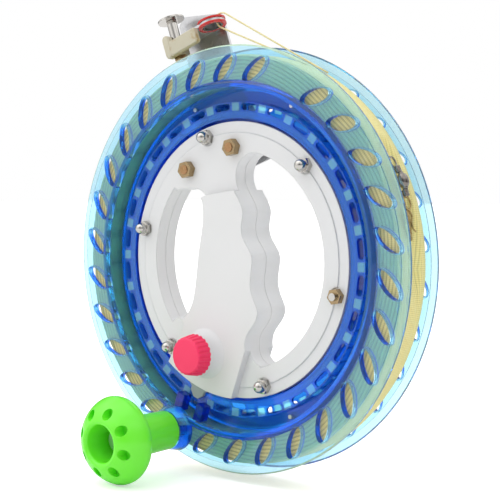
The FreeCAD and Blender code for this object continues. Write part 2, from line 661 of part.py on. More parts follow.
def hub_front():
    """Front half of the hub, with the tongue's channel and the lock knob's bearing hole."""
    shell = hub_half(-1)
    front, back = tongue_levels()
    clear = size("tongue_clearance")
    half = size("tongue_width") / 2 + clear
    tail = size("tongue_tip") - size("tongue_length") - 1
    raised = size("grip_width") / 2
    floor = lock_box(tail - 2, size("lock_knob_place") + 12, -half - 2, half + 2, back + clear, back + 2.4)
    shell = shell.fuse(floor.common(tube_y(size("core_radius"), 0, -raised, 0))).removeSplitter()
    shell = shell.cut(lock_box(tail, size("hub_radius") + 2, -half, half, front - clear, back + clear))
    boss = lock_boss()
    shell = shell.fuse(boss).removeSplitter()
    shaft = size("lock_shaft_radius") + 0.05
    shell = shell.cut(tube_y(shaft, 0, -raised - size("lock_boss_height") - 1, front, lock_centre()))
    screw = size("lock_screw_radius") + 0.1
    shell = shell.cut(tube_y(screw, 0, back, 0, lock_centre()))
    head = tube_y(3.2, 0, back + 2.4, -size("parting_gap") + 0.5, lock_centre())
    return feature("hub_front", shell.cut(head))


def hub_rear():
    return feature("hub_rear", hub_half(1))


def lock_tongue():
    """Flat tongue with a blunt nose, a slot for the screw and a cross slot for the cam pin."""
    front, back = tongue_levels()
    outward, across = lock_frame()
    tip = size("tongue_tip")
    half = size("tongue_width") / 2
    nose = size("tongue_nose") / 2
    tail = tip - size("tongue_length")
    profile = [(tail, half), (tip - 6.2, half), (tip - 5.0, nose), (tip - 3.0, nose), (tip, 1.5)]
    points = [outward * along - across * wide for along, wide in profile]
    points += [outward * along + across * wide for along, wide in reversed(profile)]
    points.append(points[0])
    plate = prism_y(Part.makePolygon(points), front, back)
    offset = cam_offset()
    start = -offset / math.sqrt(2)
    pin = size("cam_pin_radius") + size("cam_pin_slack")
    middle = size("lock_knob_place")
    cross = lock_box(middle + start - pin, middle + start + pin, 0, offset + pin + 0.1, front - 1, back + 1)
    screw = size("lock_screw_radius") + 0.3
    slot = lock_box(middle - size("lock_travel") - screw, middle + screw, -screw, screw, front - 1, back + 1)
    return feature("lock_tongue", plate.cut(cross).cut(slot))


def lock_knob():
    """Fluted knob with its shaft and the cam pin that drives the tongue."""
    front, back = tongue_levels()
    outward, across = lock_frame()
    base, face = lock_levels()
    radius, tip = size("lock_knob_radius"), size("lock_knob_front")
    centre = lock_centre()
    toward = Vector(0, -1, 0)
    drum = Part.makeCone(radius, tip, size("lock_knob_length"), centre + Vector(0, base, 0), toward)
    chamfer = [edge for edge in drum.Edges if abs(edge.CenterOfMass.y - face) < 0.01]
    drum = drum.makeChamfer(0.9, chamfer)
    flutes = []
    count = int(size("lock_flutes"))
    slope = math.degrees(math.atan2(radius - tip, size("lock_knob_length")))
    for k in range(count):
        angle = 360.0 / count * k
        flute = tube_y(0.85, 0, face - 2, base + 2)
        flute.Placement = FreeCAD.Placement(Vector(0, 0, 0), FreeCAD.Rotation(Vector(0, 0, 1), -slope),
                                            Vector(0, base, 0))
        flute.translate(Vector(radius + 0.35, 0, 0))
        flute.rotate(Vector(0, 0, 0), AXIS_Y, -angle)
        flute.translate(centre)
        flutes.append(flute)
    drum = drum.cut(Part.makeCompound(flutes))
    shaft = tube_y(size("lock_shaft_radius"), 0, base - 1, front - 0.05, centre)
    turn = cam_offset() / math.sqrt(2)
    pin_at = centre - outward * turn + across * turn
    pin = tube_y(size("cam_pin_radius"), 0, front - 1, back - 0.1, pin_at)
    solid = drum.fuse([shaft, pin]).removeSplitter()
    return feature("lock_knob", solid.cut(tube_y(size("lock_screw_radius"), 0, face + 3, front, centre)))


def lock_screw():
    """Screw from inside the hub that keeps the lock knob in place."""
    front, back = tongue_levels()
    centre = lock_centre()
    base, face = lock_levels()
    seat = back + 2.4 + 0.1
    shank = tube_y(size("lock_screw_radius"), 0, face + 4, seat, centre)
    return feature("lock_screw", shank.fuse(tube_y(2.8, 0, seat, seat + 1.5, centre)).removeSplitter())


# ---------------------------------------------------------------- bearings and hub bolts

def bearings():
    """Outer rings that roll, each its own piece, and the fixed inner rings on the bolts."""
    half = size("bearing_width") / 2
    split = size("bearing_split")
    inner = []
    for k, at in enumerate(bolt_places(), start=1):
        angle = "(%s + %d) * 1 deg" % (cell("bolt_ring_start"), 60 * (k - 1))
        place = ("%s * cos(%s)" % (cell("bolt_ring_radius"), angle), "%s * sin(%s)" % (cell("bolt_ring_radius"), angle))
        primitive_ring("bearing_%d" % k, cell("bearing_radius"),
                       "%s + %s" % (cell("bearing_split"), cell("bearing_running")),
                       "-%s / 2" % cell("bearing_width"), "%s / 2" % cell("bearing_width"), place)
        ring = tube_y(split, size("bearing_bore"), -half, half, at)
        gap = size("hub_gap") / 2
        for start, end in ((-gap, -half), (half, gap)):
            ring = ring.fuse(tube_y(split - 0.2, size("bearing_bore"), start, end, at))
        inner.append(ring.removeSplitter())
    feature("bearing_inner_rings", *inner)


def hub_faces():
    return -size("hub_width") / 2 + size("hub_step_depth"), size("hub_width") / 2 - size("hub_step_depth")


def bearing_bolts():
    """Six hexagon bolts from behind that clamp the hub's halves over the bearings."""
    front, rear = hub_faces()
    solids = []
    for k, at in enumerate(bolt_places()):
        end = front - (2.2 if k != PLAIN_NUT else size("nut_height") + 1.6)
        shank = tube_y(size("bolt_radius"), 0, end, rear, at)
        head = hex_prism(size("bolt_head_across"), Vector(at.x, rear, at.z), AXIS_Y, size("bolt_head_height"))
        solids.append(shank.fuse(head).removeSplitter())
    return feature("bearing_bolts", *solids)


PLAIN_NUT = 5


def cap_nuts():
    """Domed nuts on five of the bolts."""
    front, rear = hub_faces()
    toward = Vector(0, -1, 0)
    solids = []
    for k, at in enumerate(bolt_places()):
        if k == PLAIN_NUT:
            continue
        base = Vector(at.x, front, at.z)
        nut = hex_prism(size("nut_across"), base, toward, size("nut_height"), 15 * k)
        top = base + toward * size("nut_height")
        collar = Part.makeCylinder(size("dome_radius"), 1.4, top, toward)
        dome = Part.makeSphere(size("dome_radius"), top + toward * 1.4)
        solids.append(nut.fuse([collar, dome.cut(tube_y(8, 0, front - size("nut_height"), front + 9, at))])
                      .removeSplitter().cut(tube_y(size("bolt_radius"), 0, front - 2.3, front, at)))
    return feature("cap_nuts", *solids)


def plain_nut():
    front, rear = hub_faces()
    at = bolt_places()[PLAIN_NUT]
    nut = hex_prism(size("nut_across"), Vector(at.x, front, at.z), Vector(0, -1, 0), size("nut_height"), 10)
    return feature("plain_nut", nut.cut(tube_y(size("bolt_radius"), 0, front - 9, front, at)))


# ---------------------------------------------------------------- line guide

def guide_prism(outline, start, end):
    """An outline of (side, height) points on the guide arm, extruded along Y."""
    points = [guide_point(side, height) for side, height in outline]
    return prism_y(Part.makePolygon(points + [points[0]]), start, end)


def guide_rod(radius, side, y, low, high):
    """A round bar that points outwards along the arm."""
    outward, across = guide_frame()
    return Part.makeCylinder(radius, high - low, guide_point(side, low, y), outward)


def guide_arm():
    """Bent steel arm: a plate up the back of the reel and a tab that reaches over the winding."""
    back = size("guide_plate_place")
    thick = size("guide_plate_thick")
    level = size("guide_tab_height")
    left, right = size("guide_hole_left"), size("guide_hole_right")
    foot = size("guide_hole_height")
    plate = guide_prism([(left - 7, foot - 7), (right + 7, foot - 7), (right + 7, foot + 7), (16.5, foot + 38),
                         (16.5, level + 4), (12.0, level + 8), (-10.5, level + 16.2), (-14.5, level + 12),
                         (-14.5, foot + 38), (left - 7, foot + 7)], back, back + thick)
    side, place, neck = size("eyelet_side"), size("eyelet_place"), size("eyelet_neck")
    tab = guide_prism([(-14.0, level - thick / 2), (side, level - thick / 2), (side, level + thick / 2),
                       (-14.0, level + thick / 2)], size("roller_place") - size("roller_radius") - 0.3, back + 0.2)
    tip = guide_rod(neck + 1.1, side, place, level - thick / 2, level + thick / 2)
    web = guide_prism([(side, level - thick / 2), (16.4, level - thick / 2), (16.4, level + thick / 2),
                       (side, level + thick / 2)], place, back + 0.2)
    arm = plate.fuse([tab, tip, web]).removeSplitter()
    arm = arm.cut(guide_rod(neck, side, place, level - 5, level + 5))
    arm = arm.cut(guide_rod(size("guide_pin_radius") + 0.05, size("roller_side"), size("roller_place"),
                            level - 5, level + 5))
    for at in guide_bolt_places():
        arm = arm.cut(tube_y(size("guide_bolt_radius") + 0.05, 0, back - 1, back + thick + 1, at))
    return feature("guide_arm", arm)


def line_eyelet():
    """Flanged ring snapped into the tab, and its hard lining."""
    level, half = size("guide_tab_height"), size("eyelet_height") / 2
    side, place = size("eyelet_side"), size("eyelet_place")
    groove = size("guide_plate_thick") / 2 + 0.02
    ring = guide_rod(size("eyelet_radius"), side, place, level - half, level - groove)
    ring = ring.fuse([guide_rod(size("eyelet_neck") - 0.02, side, place, level - half, level + half),
                      guide_rod(size("eyelet_radius"), side, place, level + groove, level + half)])
    ring = ring.removeSplitter()
    feature("line_eyelet", ring.cut(guide_rod(size("eyelet_lining"), side, place, level - 9, level + 9)))
    lining = guide_rod(size("eyelet_lining") - 0.02, side, place, level - half, level + half)
    feature("eyelet_lining", lining.cut(guide_rod(size("eyelet_bore"), side, place, level - 9, level + 9)))


def guide_block():
    """Nylon block under the tab that carries the pin of the line roller."""
    top = size("guide_tab_height") - size("guide_plate_thick") / 2
    low = top - size("block_height")
    near, far = size("roller_place") - 7.5, size("guide_plate_place") - 0.2
    block = guide_prism([(-13.5, low + 1), (-12.5, low), (9.0, low), (10.0, low + 1), (10.0, top), (-13.5, top)],
                        near, far)
    block = block.cut(guide_rod(size("eyelet_radius") + 0.4, size("eyelet_side"), size("eyelet_place"),
                                top - size("eyelet_height") / 2 - 0.2, top + 1))
    pin = guide_rod(size("guide_pin_radius") + 0.05, size("roller_side"), size("roller_place"), low - 1, top + 1)
    return feature("guide_block", block.cut(pin).fuse(guide_knuckle(near)).removeSplitter())


def guide_knuckle(near):
    """Rounded lug at the block's front corner that stands in front of the roller."""
    radius = size("knuckle_radius")
    level = size("guide_tab_height")
    side = -13.5 + radius
    high, low = level + size("knuckle_rise") - radius, level - size("knuckle_drop") + radius
    far = size("roller_place") - size("roller_radius") - 0.5
    bar = guide_prism([(side - radius, low), (side + radius, low), (side + radius, high), (side - radius, high)],
                      near, far)
    ends = [tube_y(radius, 0, near, far, guide_point(side, height)) for height in (low, high)]
    return bar.fuse(ends)


def guide_roller():
    """Chrome sleeve that turns on the pin, the pin with its wide cap, and the pin's nut."""
    side, place = size("roller_side"), size("roller_place")
    top = size("guide_tab_height") + size("guide_plate_thick") / 2
    low = top - size("guide_plate_thick") - size("block_height")
    end = top + 0.3 + size("roller_length")
    pin_radius = size("guide_pin_radius")
    sleeve = guide_rod(size("roller_radius"), side, place, top + 0.15, end - 0.15)
    bore = guide_rod(pin_radius + 0.06, side, place, top - 1, end + 1)
    feature("guide_roller", sleeve.cut(bore))
    pin = guide_rod(pin_radius, side, place, low - 2.4, end)
    cap = guide_rod(size("roller_cap_radius"), side, place, end, end + size("roller_cap_thick"))
    feature("guide_pin", pin.fuse(cap).removeSplitter())
    outward, across = guide_frame()
    nut = hex_prism(6.4, guide_point(side, low, place), outward * -1, 2.0)
    feature("guide_pin_nut", nut.cut(guide_rod(pin_radius, side, place, low - 3, low + 1)))


def guide_fasteners():
    """Bolts from behind the arm, spacer sleeves behind the hub and brass nuts on its front."""
    back = size("guide_plate_place")
    behind = back + size("guide_plate_thick")
    rear = size("hub_width") / 2
    front = -size("hub_width") / 2
    bolts, spacers, nuts = [], [], []
    for at in guide_bolt_places():
        shank = tube_y(size("guide_bolt_radius"), 0, front - size("guide_nut_height") - 0.4, behind, at)
        head = tube_y(4.6, 0, behind, behind + 3.0, at).cut(
            hex_prism(3.0, Vector(at.x, behind + 1.2, at.z), AXIS_Y, 3.0))
        bolts.append(shank.fuse(head).removeSplitter())
        spacers.append(tube_y(4.4, size("guide_bolt_radius") + 0.02, rear, back, at))
        nut = hex_prism(size("guide_nut_across"), Vector(at.x, front, at.z), Vector(0, -1, 0),
                        size("guide_nut_height"), 12)
        nuts.append(nut.cut(tube_y(size("guide_bolt_radius"), 0, front - 9, front, at)))
    feature("guide_bolts", *bolts)
    feature("guide_spacers", *spacers)
    feature("guide_nuts", *nuts)


# ---------------------------------------------------------------- free line and swivel

LINE_ROUTE = [
    # (side, height, y) beside the eyelet's centre: off the winding, up through the eyelet and back
    (3.4, -2.9, 0.0), (3.4, 2.9, 0.0), (8.9, 2.8, 0.3),
]


def line_route():
    """The free line's points: off the winding, through the eyelet and back onto the winding."""
    middle = guide_point(size("eyelet_side"), size("guide_tab_height"), size("eyelet_place"))
    outward, across = guide_frame()
    points = [middle + across * side + outward * height + Vector(0, y, 0) for side, height, y in LINE_ROUTE]
    reach = size("winding_radius") + size("winding_gap") + size("line_diameter") / 2
    for place, index in ((4.0, 0), (7.0, -1)):
        near = points[index]
        distance = math.hypot(near.x, near.z)
        angle = math.degrees(math.atan2(near.z, near.x) - math.acos(reach / distance))
        end = polar(reach, angle, place)
        if index == 0:
            points.insert(0, end)
        else:
            points.append(end)
    return points


def line_lead():
    """The free line: straight runs joined by tangent arcs."""
    points = line_route()
    radius = size("line_diameter") / 2
    edges = []
    start = points[0]
    for before, corner, after in zip(points, points[1:], points[2:]):
        back = (before - corner).normalize()
        ahead = (after - corner).normalize()
        half_turn = (math.pi - back.getAngle(ahead)) / 2
        run = 0.45 * min((before - corner).Length, (after - corner).Length)
        bend = run / math.tan(half_turn)
        print("line bend radius", round(bend, 2), "mm, line radius", radius)
        first, last = corner + back * run, corner + ahead * run
        bisector = (back + ahead).normalize()
        middle = corner + bisector * (bend / math.cos(half_turn) - bend)
        edges.append(Part.LineSegment(start, first).toShape())
        edges.append(Part.Arc(first, middle, last).toShape())
        start = last
    edges.append(Part.LineSegment(start, points[-1]).toShape())
    path = Part.Wire(edges)
    print("line length", round(path.Length, 2), "mm")
    profile = Part.Wire(Part.makeCircle(radius, points[0], (points[1] - points[0]).normalize()))
    return feature("line_lead", path.makePipeShell([profile], True, False))


def swivel_levels():
    """Radius of the swivel's centre line above the winding."""
    return size("winding_radius") + size("winding_gap") + size("swivel_radius") + 0.1


def on_winding(shape, angle, radius):
    """Moves a shape made along X to lie along the winding: X down the right side, Z outwards."""
    shape.Placement = FreeCAD.Placement(polar(radius, angle, size("swivel_place")),
                                        FreeCAD.Rotation(AXIS_Y, 90 - angle))
    return shape


def rod_x(radius, start, end, y=0.0):
    return Part.makeCylinder(radius, end - start, Vector(start, y, 0), Vector(1, 0, 0))


def swivel():
    """Barrel swivel: a turning barrel that holds the beads of two wire eyes."""
    angle, level = size("swivel_angle"), swivel_levels()
    radius, half, wire = size("swivel_radius"), size("swivel_length") / 2, size("swivel_wire")
    run = size("swivel_running")
    barrel = rod_x(radius, -half + 1.2, half - 1.2)
    for side in (-1, 1):
        cone = Part.makeCone(radius, radius * 0.55, 1.2, Vector(side * (half - 1.2), 0, 0), Vector(side, 0, 0))
        barrel = barrel.fuse(cone)
    barrel = barrel.removeSplitter().cut(rod_x(radius - 0.55, -half + 1.2, half - 1.2))
    barrel = barrel.cut(rod_x(wire + run, -half - 1, half + 1))
    feature("swivel_barrel", on_winding(barrel, angle, level))
    eyes = []
    loop = size("swivel_eye")
    for side in (-1, 1):
        bead = rod_x(radius - 0.55 - run, *sorted((side * (half - 2.4), side * (half - 1.3))))
        stem = rod_x(wire, *sorted((side * (half - 2.0), side * (half + 0.8))))
        ring = Part.makeTorus(loop, wire, Vector(side * (half + 0.6 + loop), 0, 0), Vector(0, 0, 1))
        eyes.append(on_winding(bead.fuse([stem, ring]).removeSplitter(), angle, level))
    feature("swivel_eyes", *eyes)


def snap():
    """Split ring, wire loop and folded plate of the snap hook that hangs from the swivel."""
    level, wire, loop = swivel_levels(), size("swivel_wire"), size("swivel_eye")
    reach = math.degrees(math.atan2(size("swivel_length") / 2 + 0.6 + loop, level))
    eye_angle = size("swivel_angle") - reach

    def further(distance):
        return eye_angle - math.degrees(distance / level)

    ring = Part.makeTorus(loop - 0.1, wire, Vector(0, 0, 0), Vector(0, 1, 0))
    feature("snap_ring", on_winding(ring, further(loop + 0.37), level + 0.35))
    bend, length = size("snap_loop"), size("snap_length")
    half = length / 2
    low = level - 0.3
    path = Part.Wire([
        Part.LineSegment(Vector(-half, bend, 0), Vector(half, bend, 0)).toShape(),
        Part.Arc(Vector(half, bend, 0), Vector(half + bend, 0, 0), Vector(half, -bend, 0)).toShape(),
        Part.LineSegment(Vector(half, -bend, 0), Vector(-half, -bend, 0)).toShape(),
        Part.Arc(Vector(-half, -bend, 0), Vector(-half - bend, 0, 0), Vector(-half, bend, 0)).toShape()])
    profile = Part.Wire(Part.makeCircle(wire, Vector(0, bend, 0), Vector(1, 0, 0)))
    path_start = Part.Wire([
        Part.LineSegment(Vector(0, bend, 0), Vector(half, bend, 0)).toShape(),
        *path.OrderedEdges[1:],
        Part.LineSegment(Vector(-half, bend, 0), Vector(0, bend, 0)).toShape()])
    middle = further(loop + 2 * wire + bend + 0.1 + half)
    loop_wire = path_start.makePipeShell([profile], True, False)
    feature("snap_wire", on_winding(loop_wire, middle, low))
    wide = bend + wire + 0.7
    thick = size("snap_plate_thick") / 2
    start = half - size("snap_plate_length")
    corners = [Vector(start, -wide, -thick), Vector(start + 2, -wide - 0.4, -thick), Vector(half, -wide + 0.3, -thick),
               Vector(half, wide - 0.3, -thick), Vector(start + 2, wide + 0.4, -thick), Vector(start, wide, -thick)]
    plate = Part.Face(Part.makePolygon(corners + [corners[0]])).extrude(Vector(0, 0, 2 * thick))
    for side in (-1, 1):
        plate = plate.cut(rod_x(wire + 0.02, start - 1, half + 1, side * bend))
    feature("snap_plate", on_winding(plate, middle, low))


# ---------------------------------------------------------------- build

spool_front()
spool_rear()
race_half("race_front", -1)
race_half("race_rear", 1)
gate_blocks()
spool_screws()
line_winding()
crank_knob()
crank_axle()
crank_washer()
hub_front()
hub_rear()
lock_tongue()
lock_knob()
lock_screw()
bearings()
bearing_bolts()
cap_nuts()
plain_nut()
guide_arm()
line_eyelet()
guide_block()
guide_roller()
guide_fasteners()
line_lead()
swivel()
snap()

doc.recompute()
for item in doc.Objects:
    if "Invalid" in item.State or "Error" in item.State:
        raise RuntimeError("%s did not build: %s" % (item.Name, item.State))
for item in PARTS:
    if item.Shape.isNull() or not item.Shape.isValid() or not item.Shape.Solids:
        raise RuntimeError("%s has no valid solid" % item.Label)
os.makedirs("parts", exist_ok=True)
for item in PARTS:
    item.Shape.exportStep("parts/%s.step" % item.Label)
    print(item.Label, len(item.Shape.Solids), "solids", round(item.Shape.Volume, 1), "mm3")
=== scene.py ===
import json
import math

import bpy
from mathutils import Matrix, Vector


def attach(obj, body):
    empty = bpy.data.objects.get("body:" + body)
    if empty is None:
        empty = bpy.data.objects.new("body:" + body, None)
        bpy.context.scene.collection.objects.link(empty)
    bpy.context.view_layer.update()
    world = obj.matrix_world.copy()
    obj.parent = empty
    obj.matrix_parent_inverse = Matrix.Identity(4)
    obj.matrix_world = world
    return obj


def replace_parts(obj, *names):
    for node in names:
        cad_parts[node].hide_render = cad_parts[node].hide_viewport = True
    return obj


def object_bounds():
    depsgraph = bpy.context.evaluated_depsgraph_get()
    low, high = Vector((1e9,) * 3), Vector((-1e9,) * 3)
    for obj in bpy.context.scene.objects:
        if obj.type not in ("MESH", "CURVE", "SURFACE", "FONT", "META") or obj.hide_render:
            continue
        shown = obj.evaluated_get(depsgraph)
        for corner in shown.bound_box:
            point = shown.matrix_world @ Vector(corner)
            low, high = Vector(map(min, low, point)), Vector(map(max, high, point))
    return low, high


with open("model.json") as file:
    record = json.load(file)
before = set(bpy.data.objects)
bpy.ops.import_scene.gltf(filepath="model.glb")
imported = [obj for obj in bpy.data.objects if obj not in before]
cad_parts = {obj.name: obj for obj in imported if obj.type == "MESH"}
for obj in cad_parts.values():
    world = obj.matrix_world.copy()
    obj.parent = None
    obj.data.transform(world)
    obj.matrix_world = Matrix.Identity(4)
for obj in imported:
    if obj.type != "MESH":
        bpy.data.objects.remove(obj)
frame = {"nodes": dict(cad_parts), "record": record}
cad_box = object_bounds()
nodes = frame["nodes"]
scene = bpy.context.scene
scene.view_settings.view_transform = "Standard"

MM = 0.001
FULL_TURN = 2 * math.pi
WHITE = (1.0, 1.0, 1.0)


# ---------------------------------------------------------------- camera

CAMERA_PLACE = (0.42814, -0.50369, 0.04255)
CAMERA_TILT = 86.26
CAMERA_TURN = 41.13
CAMERA_LENS = 91.6
CAMERA_SENSOR = 36.0
CAMERA_SHIFT = (0.0449, 0.0218)
CAMERA_CLIP = (0.01, 30.0)


def add_camera():
    data = bpy.data.cameras.new("camera")
    data.sensor_width = CAMERA_SENSOR
    data.lens = CAMERA_LENS
    data.shift_x, data.shift_y = CAMERA_SHIFT
    data.clip_start, data.clip_end = CAMERA_CLIP
    camera = bpy.data.objects.new("camera", data)
    camera.location = CAMERA_PLACE
    camera.rotation_euler = (math.radians(CAMERA_TILT), 0.0, math.radians(CAMERA_TURN))
    scene.collection.objects.link(camera)
    scene.camera = camera


add_camera()


# ---------------------------------------------------------------- mesh helpers

def polar(radius, angle, y=0.0):
    """A point in metres from a radius and a height in millimetres and an angle in degrees."""
    turn = math.radians(angle)
    return Vector((radius * math.cos(turn), y, radius * math.sin(turn))) * MM


def mesh_object(name, points, faces, smooth=True):
    mesh = bpy.data.meshes.new(name)
    mesh.from_pydata(points, [], faces)
    mesh.validate()
    if smooth:
        mesh.shade_smooth()
    piece = bpy.data.objects.new(name, mesh)
    scene.collection.objects.link(piece)
    return piece


def grid_faces(rows, columns, close_rows=False):
    """Quads over rows of points, where each row is a closed loop."""
    faces = []
    for i in range(rows if close_rows else rows - 1):
        here, ahead = i * columns, (i + 1) % rows * columns
        for j in range(columns):
            beside = (j + 1) % columns
            faces.append((here + j, here + beside, ahead + beside, ahead + j))
    return faces


def end_caps(rows, columns):
    """The two faces that close the first and the last row of a grid."""
    return [tuple(reversed(range(columns))), tuple(range((rows - 1) * columns, rows * columns))]


def prism_faces(count):
    """Faces between an outline of places and its copy, with both ends."""
    ends = [tuple(range(count)), tuple(reversed(range(count, 2 * count)))]
    return ends + [(k, k + count, (k + 1) % count + count, (k + 1) % count) for k in range(count)]


def tube(name, path, radius, closed=False, sides=10):
    """A wire of constant round section along a path of places."""
    points = []
    count = len(path)
    normal = None
    for k, place in enumerate(path):
        after = path[(k + 1) % count] if closed or k + 1 < count else place
        before = path[k - 1] if closed or k else place
        ahead = (after - before).normalized()
        if normal is None:
            normal = ahead.orthogonal().normalized()
        normal = (normal - ahead * normal.dot(ahead)).normalized()
        other = ahead.cross(normal)
        for j in range(sides):
            turn = FULL_TURN * j / sides
            rim = normal * math.cos(turn) + other * math.sin(turn)
            points.append(place + rim * radius * MM)
    faces = grid_faces(count, sides, closed)
    if not closed:
        faces += end_caps(count, sides)
    return mesh_object(name, points, faces)


def spline_places(points):
    """Places along one smooth open spline through its control points."""
    data = bpy.data.curves.new("route", "CURVE")
    data.dimensions = "3D"
    spline = data.splines.new("NURBS")
    spline.points.add(len(points) - 1)
    for point, place in zip(spline.points, points):
        point.co = (*place, 1.0)
    spline.order_u = 3
    spline.use_endpoint_u = True
    spline.resolution_u = 16
    route = bpy.data.objects.new("route", data)
    mesh = bpy.data.meshes.new_from_object(route)
    places = [vertex.co.copy() for vertex in mesh.vertices]
    bpy.data.objects.remove(route)
    bpy.data.curves.remove(data)
    bpy.data.meshes.remove(mesh)
    return places


# ---------------------------------------------------------------- the free line

# Metres: off the winding, up through the eyelet, round it and back to the winding.
LINE_ROUTE = [
    (0.03766, 0.0040, 0.09908),
    (-0.02022, 0.00732, 0.12108),
    (-0.02522, 0.0076, 0.12310),
    (-0.02721, 0.0076, 0.12855),
    (-0.02200, 0.0079, 0.13033),
    (-0.01724, 0.00784, 0.12780),
    (0.04818, 0.0070, 0.09441),
]
LINE_RADIUS = 0.45

line_path = spline_places(LINE_ROUTE)
line = tube("flying_line", line_path, LINE_RADIUS, sides=12)
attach(line, "grip")
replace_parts(line, "line_lead")


# ---------------------------------------------------------------- shader helpers
# An owner is a material or the world: anything with a node tree.

def new_material(name, colour, metallic=0.0, roughness=0.4):
    material = bpy.data.materials.new(name)
    material.use_nodes = True
    shader = material.node_tree.nodes["Principled BSDF"]
    shader.inputs["Base Color"].default_value = (*colour, 1.0)
    shader.inputs["Metallic"].default_value = metallic
    shader.inputs["Roughness"].default_value = roughness
    return material, shader


def node(owner, kind, **settings):
    made = owner.node_tree.nodes.new(kind)
    for key, value in settings.items():
        setattr(made, key, value)
    return made


def join(owner, source, target):
    owner.node_tree.links.new(source, target)


def feed(owner, socket, value):
    """Gives a socket its value: another socket, a number or a colour."""
    if isinstance(value, tuple):
        socket.default_value = (*value, 1.0)
    elif isinstance(value, (int, float)):
        socket.default_value = value
    else:
        join(owner, value, socket)


def math_node(owner, operation, first, second=None):
    """One Math step; each input is a socket or a number."""
    made = node(owner, "ShaderNodeMath", operation=operation)
    feed(owner, made.inputs[0], first)
    if second is not None:
        feed(owner, made.inputs[1], second)
    return made.outputs[0]


def ramp(owner, value, from_low, from_high, low=0.0, high=1.0, kind="SMOOTHSTEP"):
    """Maps one range of a value to another and holds it at the ends."""
    made = node(owner, "ShaderNodeMapRange", interpolation_type=kind)
    made.inputs["From Min"].default_value = from_low
    made.inputs["From Max"].default_value = from_high
    made.inputs["To Min"].default_value = low
    made.inputs["To Max"].default_value = high
    join(owner, value, made.inputs["Value"])
    return made.outputs["Result"]


# Most of a noise pattern lies between these values.
NOISE_LOW = 0.3
NOISE_HIGH = 0.7


def spread(material, value, low, high):
    """Maps a noise pattern to a range."""
    return ramp(material, value, NOISE_LOW, NOISE_HIGH, low, high, "LINEAR")


def mix_colours(material, share, first, second, kind="MIX"):
    """Mixes two colours, each a socket or three numbers."""
    made = node(material, "ShaderNodeMix", data_type="RGBA", blend_type=kind)
    feed(material, made.inputs["Factor"], share)
    colours = [socket for socket in made.inputs if socket.type == "RGBA"]
    feed(material, colours[0], first)
    feed(material, colours[1], second)
    return next(socket for socket in made.outputs if socket.type == "RGBA")


def object_place(material):
    return node(material, "ShaderNodeTexCoord").outputs["Object"]


def object_axes(material):
    """X, Y and Z of a place on the piece, in metres."""
    parts = node(material, "ShaderNodeSeparateXYZ")
    join(material, object_place(material), parts.inputs[0])
    return parts.outputs


def ring_radius(material):
    """Distance from the spool's axis, in millimetres."""
    axes = object_axes(material)
    square = math_node(material, "ADD", math_node(material, "MULTIPLY", axes["X"], axes["X"]),
                       math_node(material, "MULTIPLY", axes["Z"], axes["Z"]))
    return math_node(material, "MULTIPLY", math_node(material, "SQRT", square), 1 / MM)


def ring_turn(material):
    """Angle round the spool's axis, in radians."""
    axes = object_axes(material)
    return math_node(material, "ARCTAN2", axes["Z"], axes["X"])


def wall_share(material):
    """1 on the walls that stand along the spool's axis, 0 on its flat faces; it places the painted
    wall colours of the clear plastic.
    """
    parts = node(material, "ShaderNodeSeparateXYZ")
    normal = node(material, "ShaderNodeNewGeometry").outputs["True Normal"]
    join(material, normal, parts.inputs[0])
    facing = math_node(material, "ABSOLUTE", parts.outputs["Y"])
    return ramp(material, facing, 0.25, 0.8, 1.0, 0.0)


def noise(material, scale, detail=3.0, stretch=None):
    """A noise pattern fixed to the piece; stretch scales it along X, Y and Z."""
    made = node(material, "ShaderNodeTexNoise")
    made.inputs["Scale"].default_value = scale
    made.inputs["Detail"].default_value = detail
    place = object_place(material)
    if stretch:
        moved = node(material, "ShaderNodeMapping")
        moved.inputs["Scale"].default_value = stretch
        join(material, place, moved.inputs["Vector"])
        place = moved.outputs["Vector"]
    join(material, place, made.inputs["Vector"])
    return made.outputs["Fac"]


def relief(material, shader, height, distance, strength, rounding=0.0):
    """Bumps from a pattern, over edges rounded by a small radius."""
    made = node(material, "ShaderNodeBump")
    made.inputs["Strength"].default_value = strength
    made.inputs["Distance"].default_value = distance
    join(material, height, made.inputs["Height"])
    if rounding:
        edge = node(material, "ShaderNodeBevel", samples=6)
        edge.inputs["Radius"].default_value = rounding
        join(material, edge.outputs["Normal"], made.inputs["Normal"])
    join(material, made.outputs["Normal"], shader.inputs["Normal"])


def paint(material, shader, colour):
    join(material, colour, shader.inputs["Base Color"])


def painted(shader):
    """The colour that a shader has been given so far."""
    return shader.inputs["Base Color"].links[0].from_socket


def seen_rays(owner):
    """1 for rays from the camera or through clear plastic, 0 for light that falls on a piece."""
    path = node(owner, "ShaderNodeLightPath")
    return math_node(owner, "MAXIMUM", path.outputs["Is Camera Ray"],
                     path.outputs["Is Transmission Ray"])


# ---------------------------------------------------------------- kinds of finish

def moulded(name, first, second, rough_low, rough_high, rounding):
    """Moulded plastic: slow colour drift, uneven gloss, faint orange peel and soft edges."""
    material, shader = new_material(name, first)
    paint(material, shader, mix_colours(material, noise(material, 35.0), first, second))
    join(material, spread(material, noise(material, 160.0), rough_low, rough_high),
         shader.inputs["Roughness"])
    relief(material, shader, noise(material, 420.0, 2.0), 0.00002, 0.6, rounding)
    return material, shader


def plated(name, first, second, rough_low, rough_high):
    """Plated metal: faint cloudiness, fine scuffs and softened edges."""
    material, shader = new_material(name, first, 1.0)
    paint(material, shader, mix_colours(material, noise(material, 300.0, 5.0), first, second))
    join(material, spread(material, noise(material, 900.0, 4.0), rough_low, rough_high),
         shader.inputs["Roughness"])
    scuffs = noise(material, 1500.0, 3.0, (1.0, 6.0, 1.0))
    relief(material, shader, scuffs, 0.00001, 0.35, 0.00025)
    return material


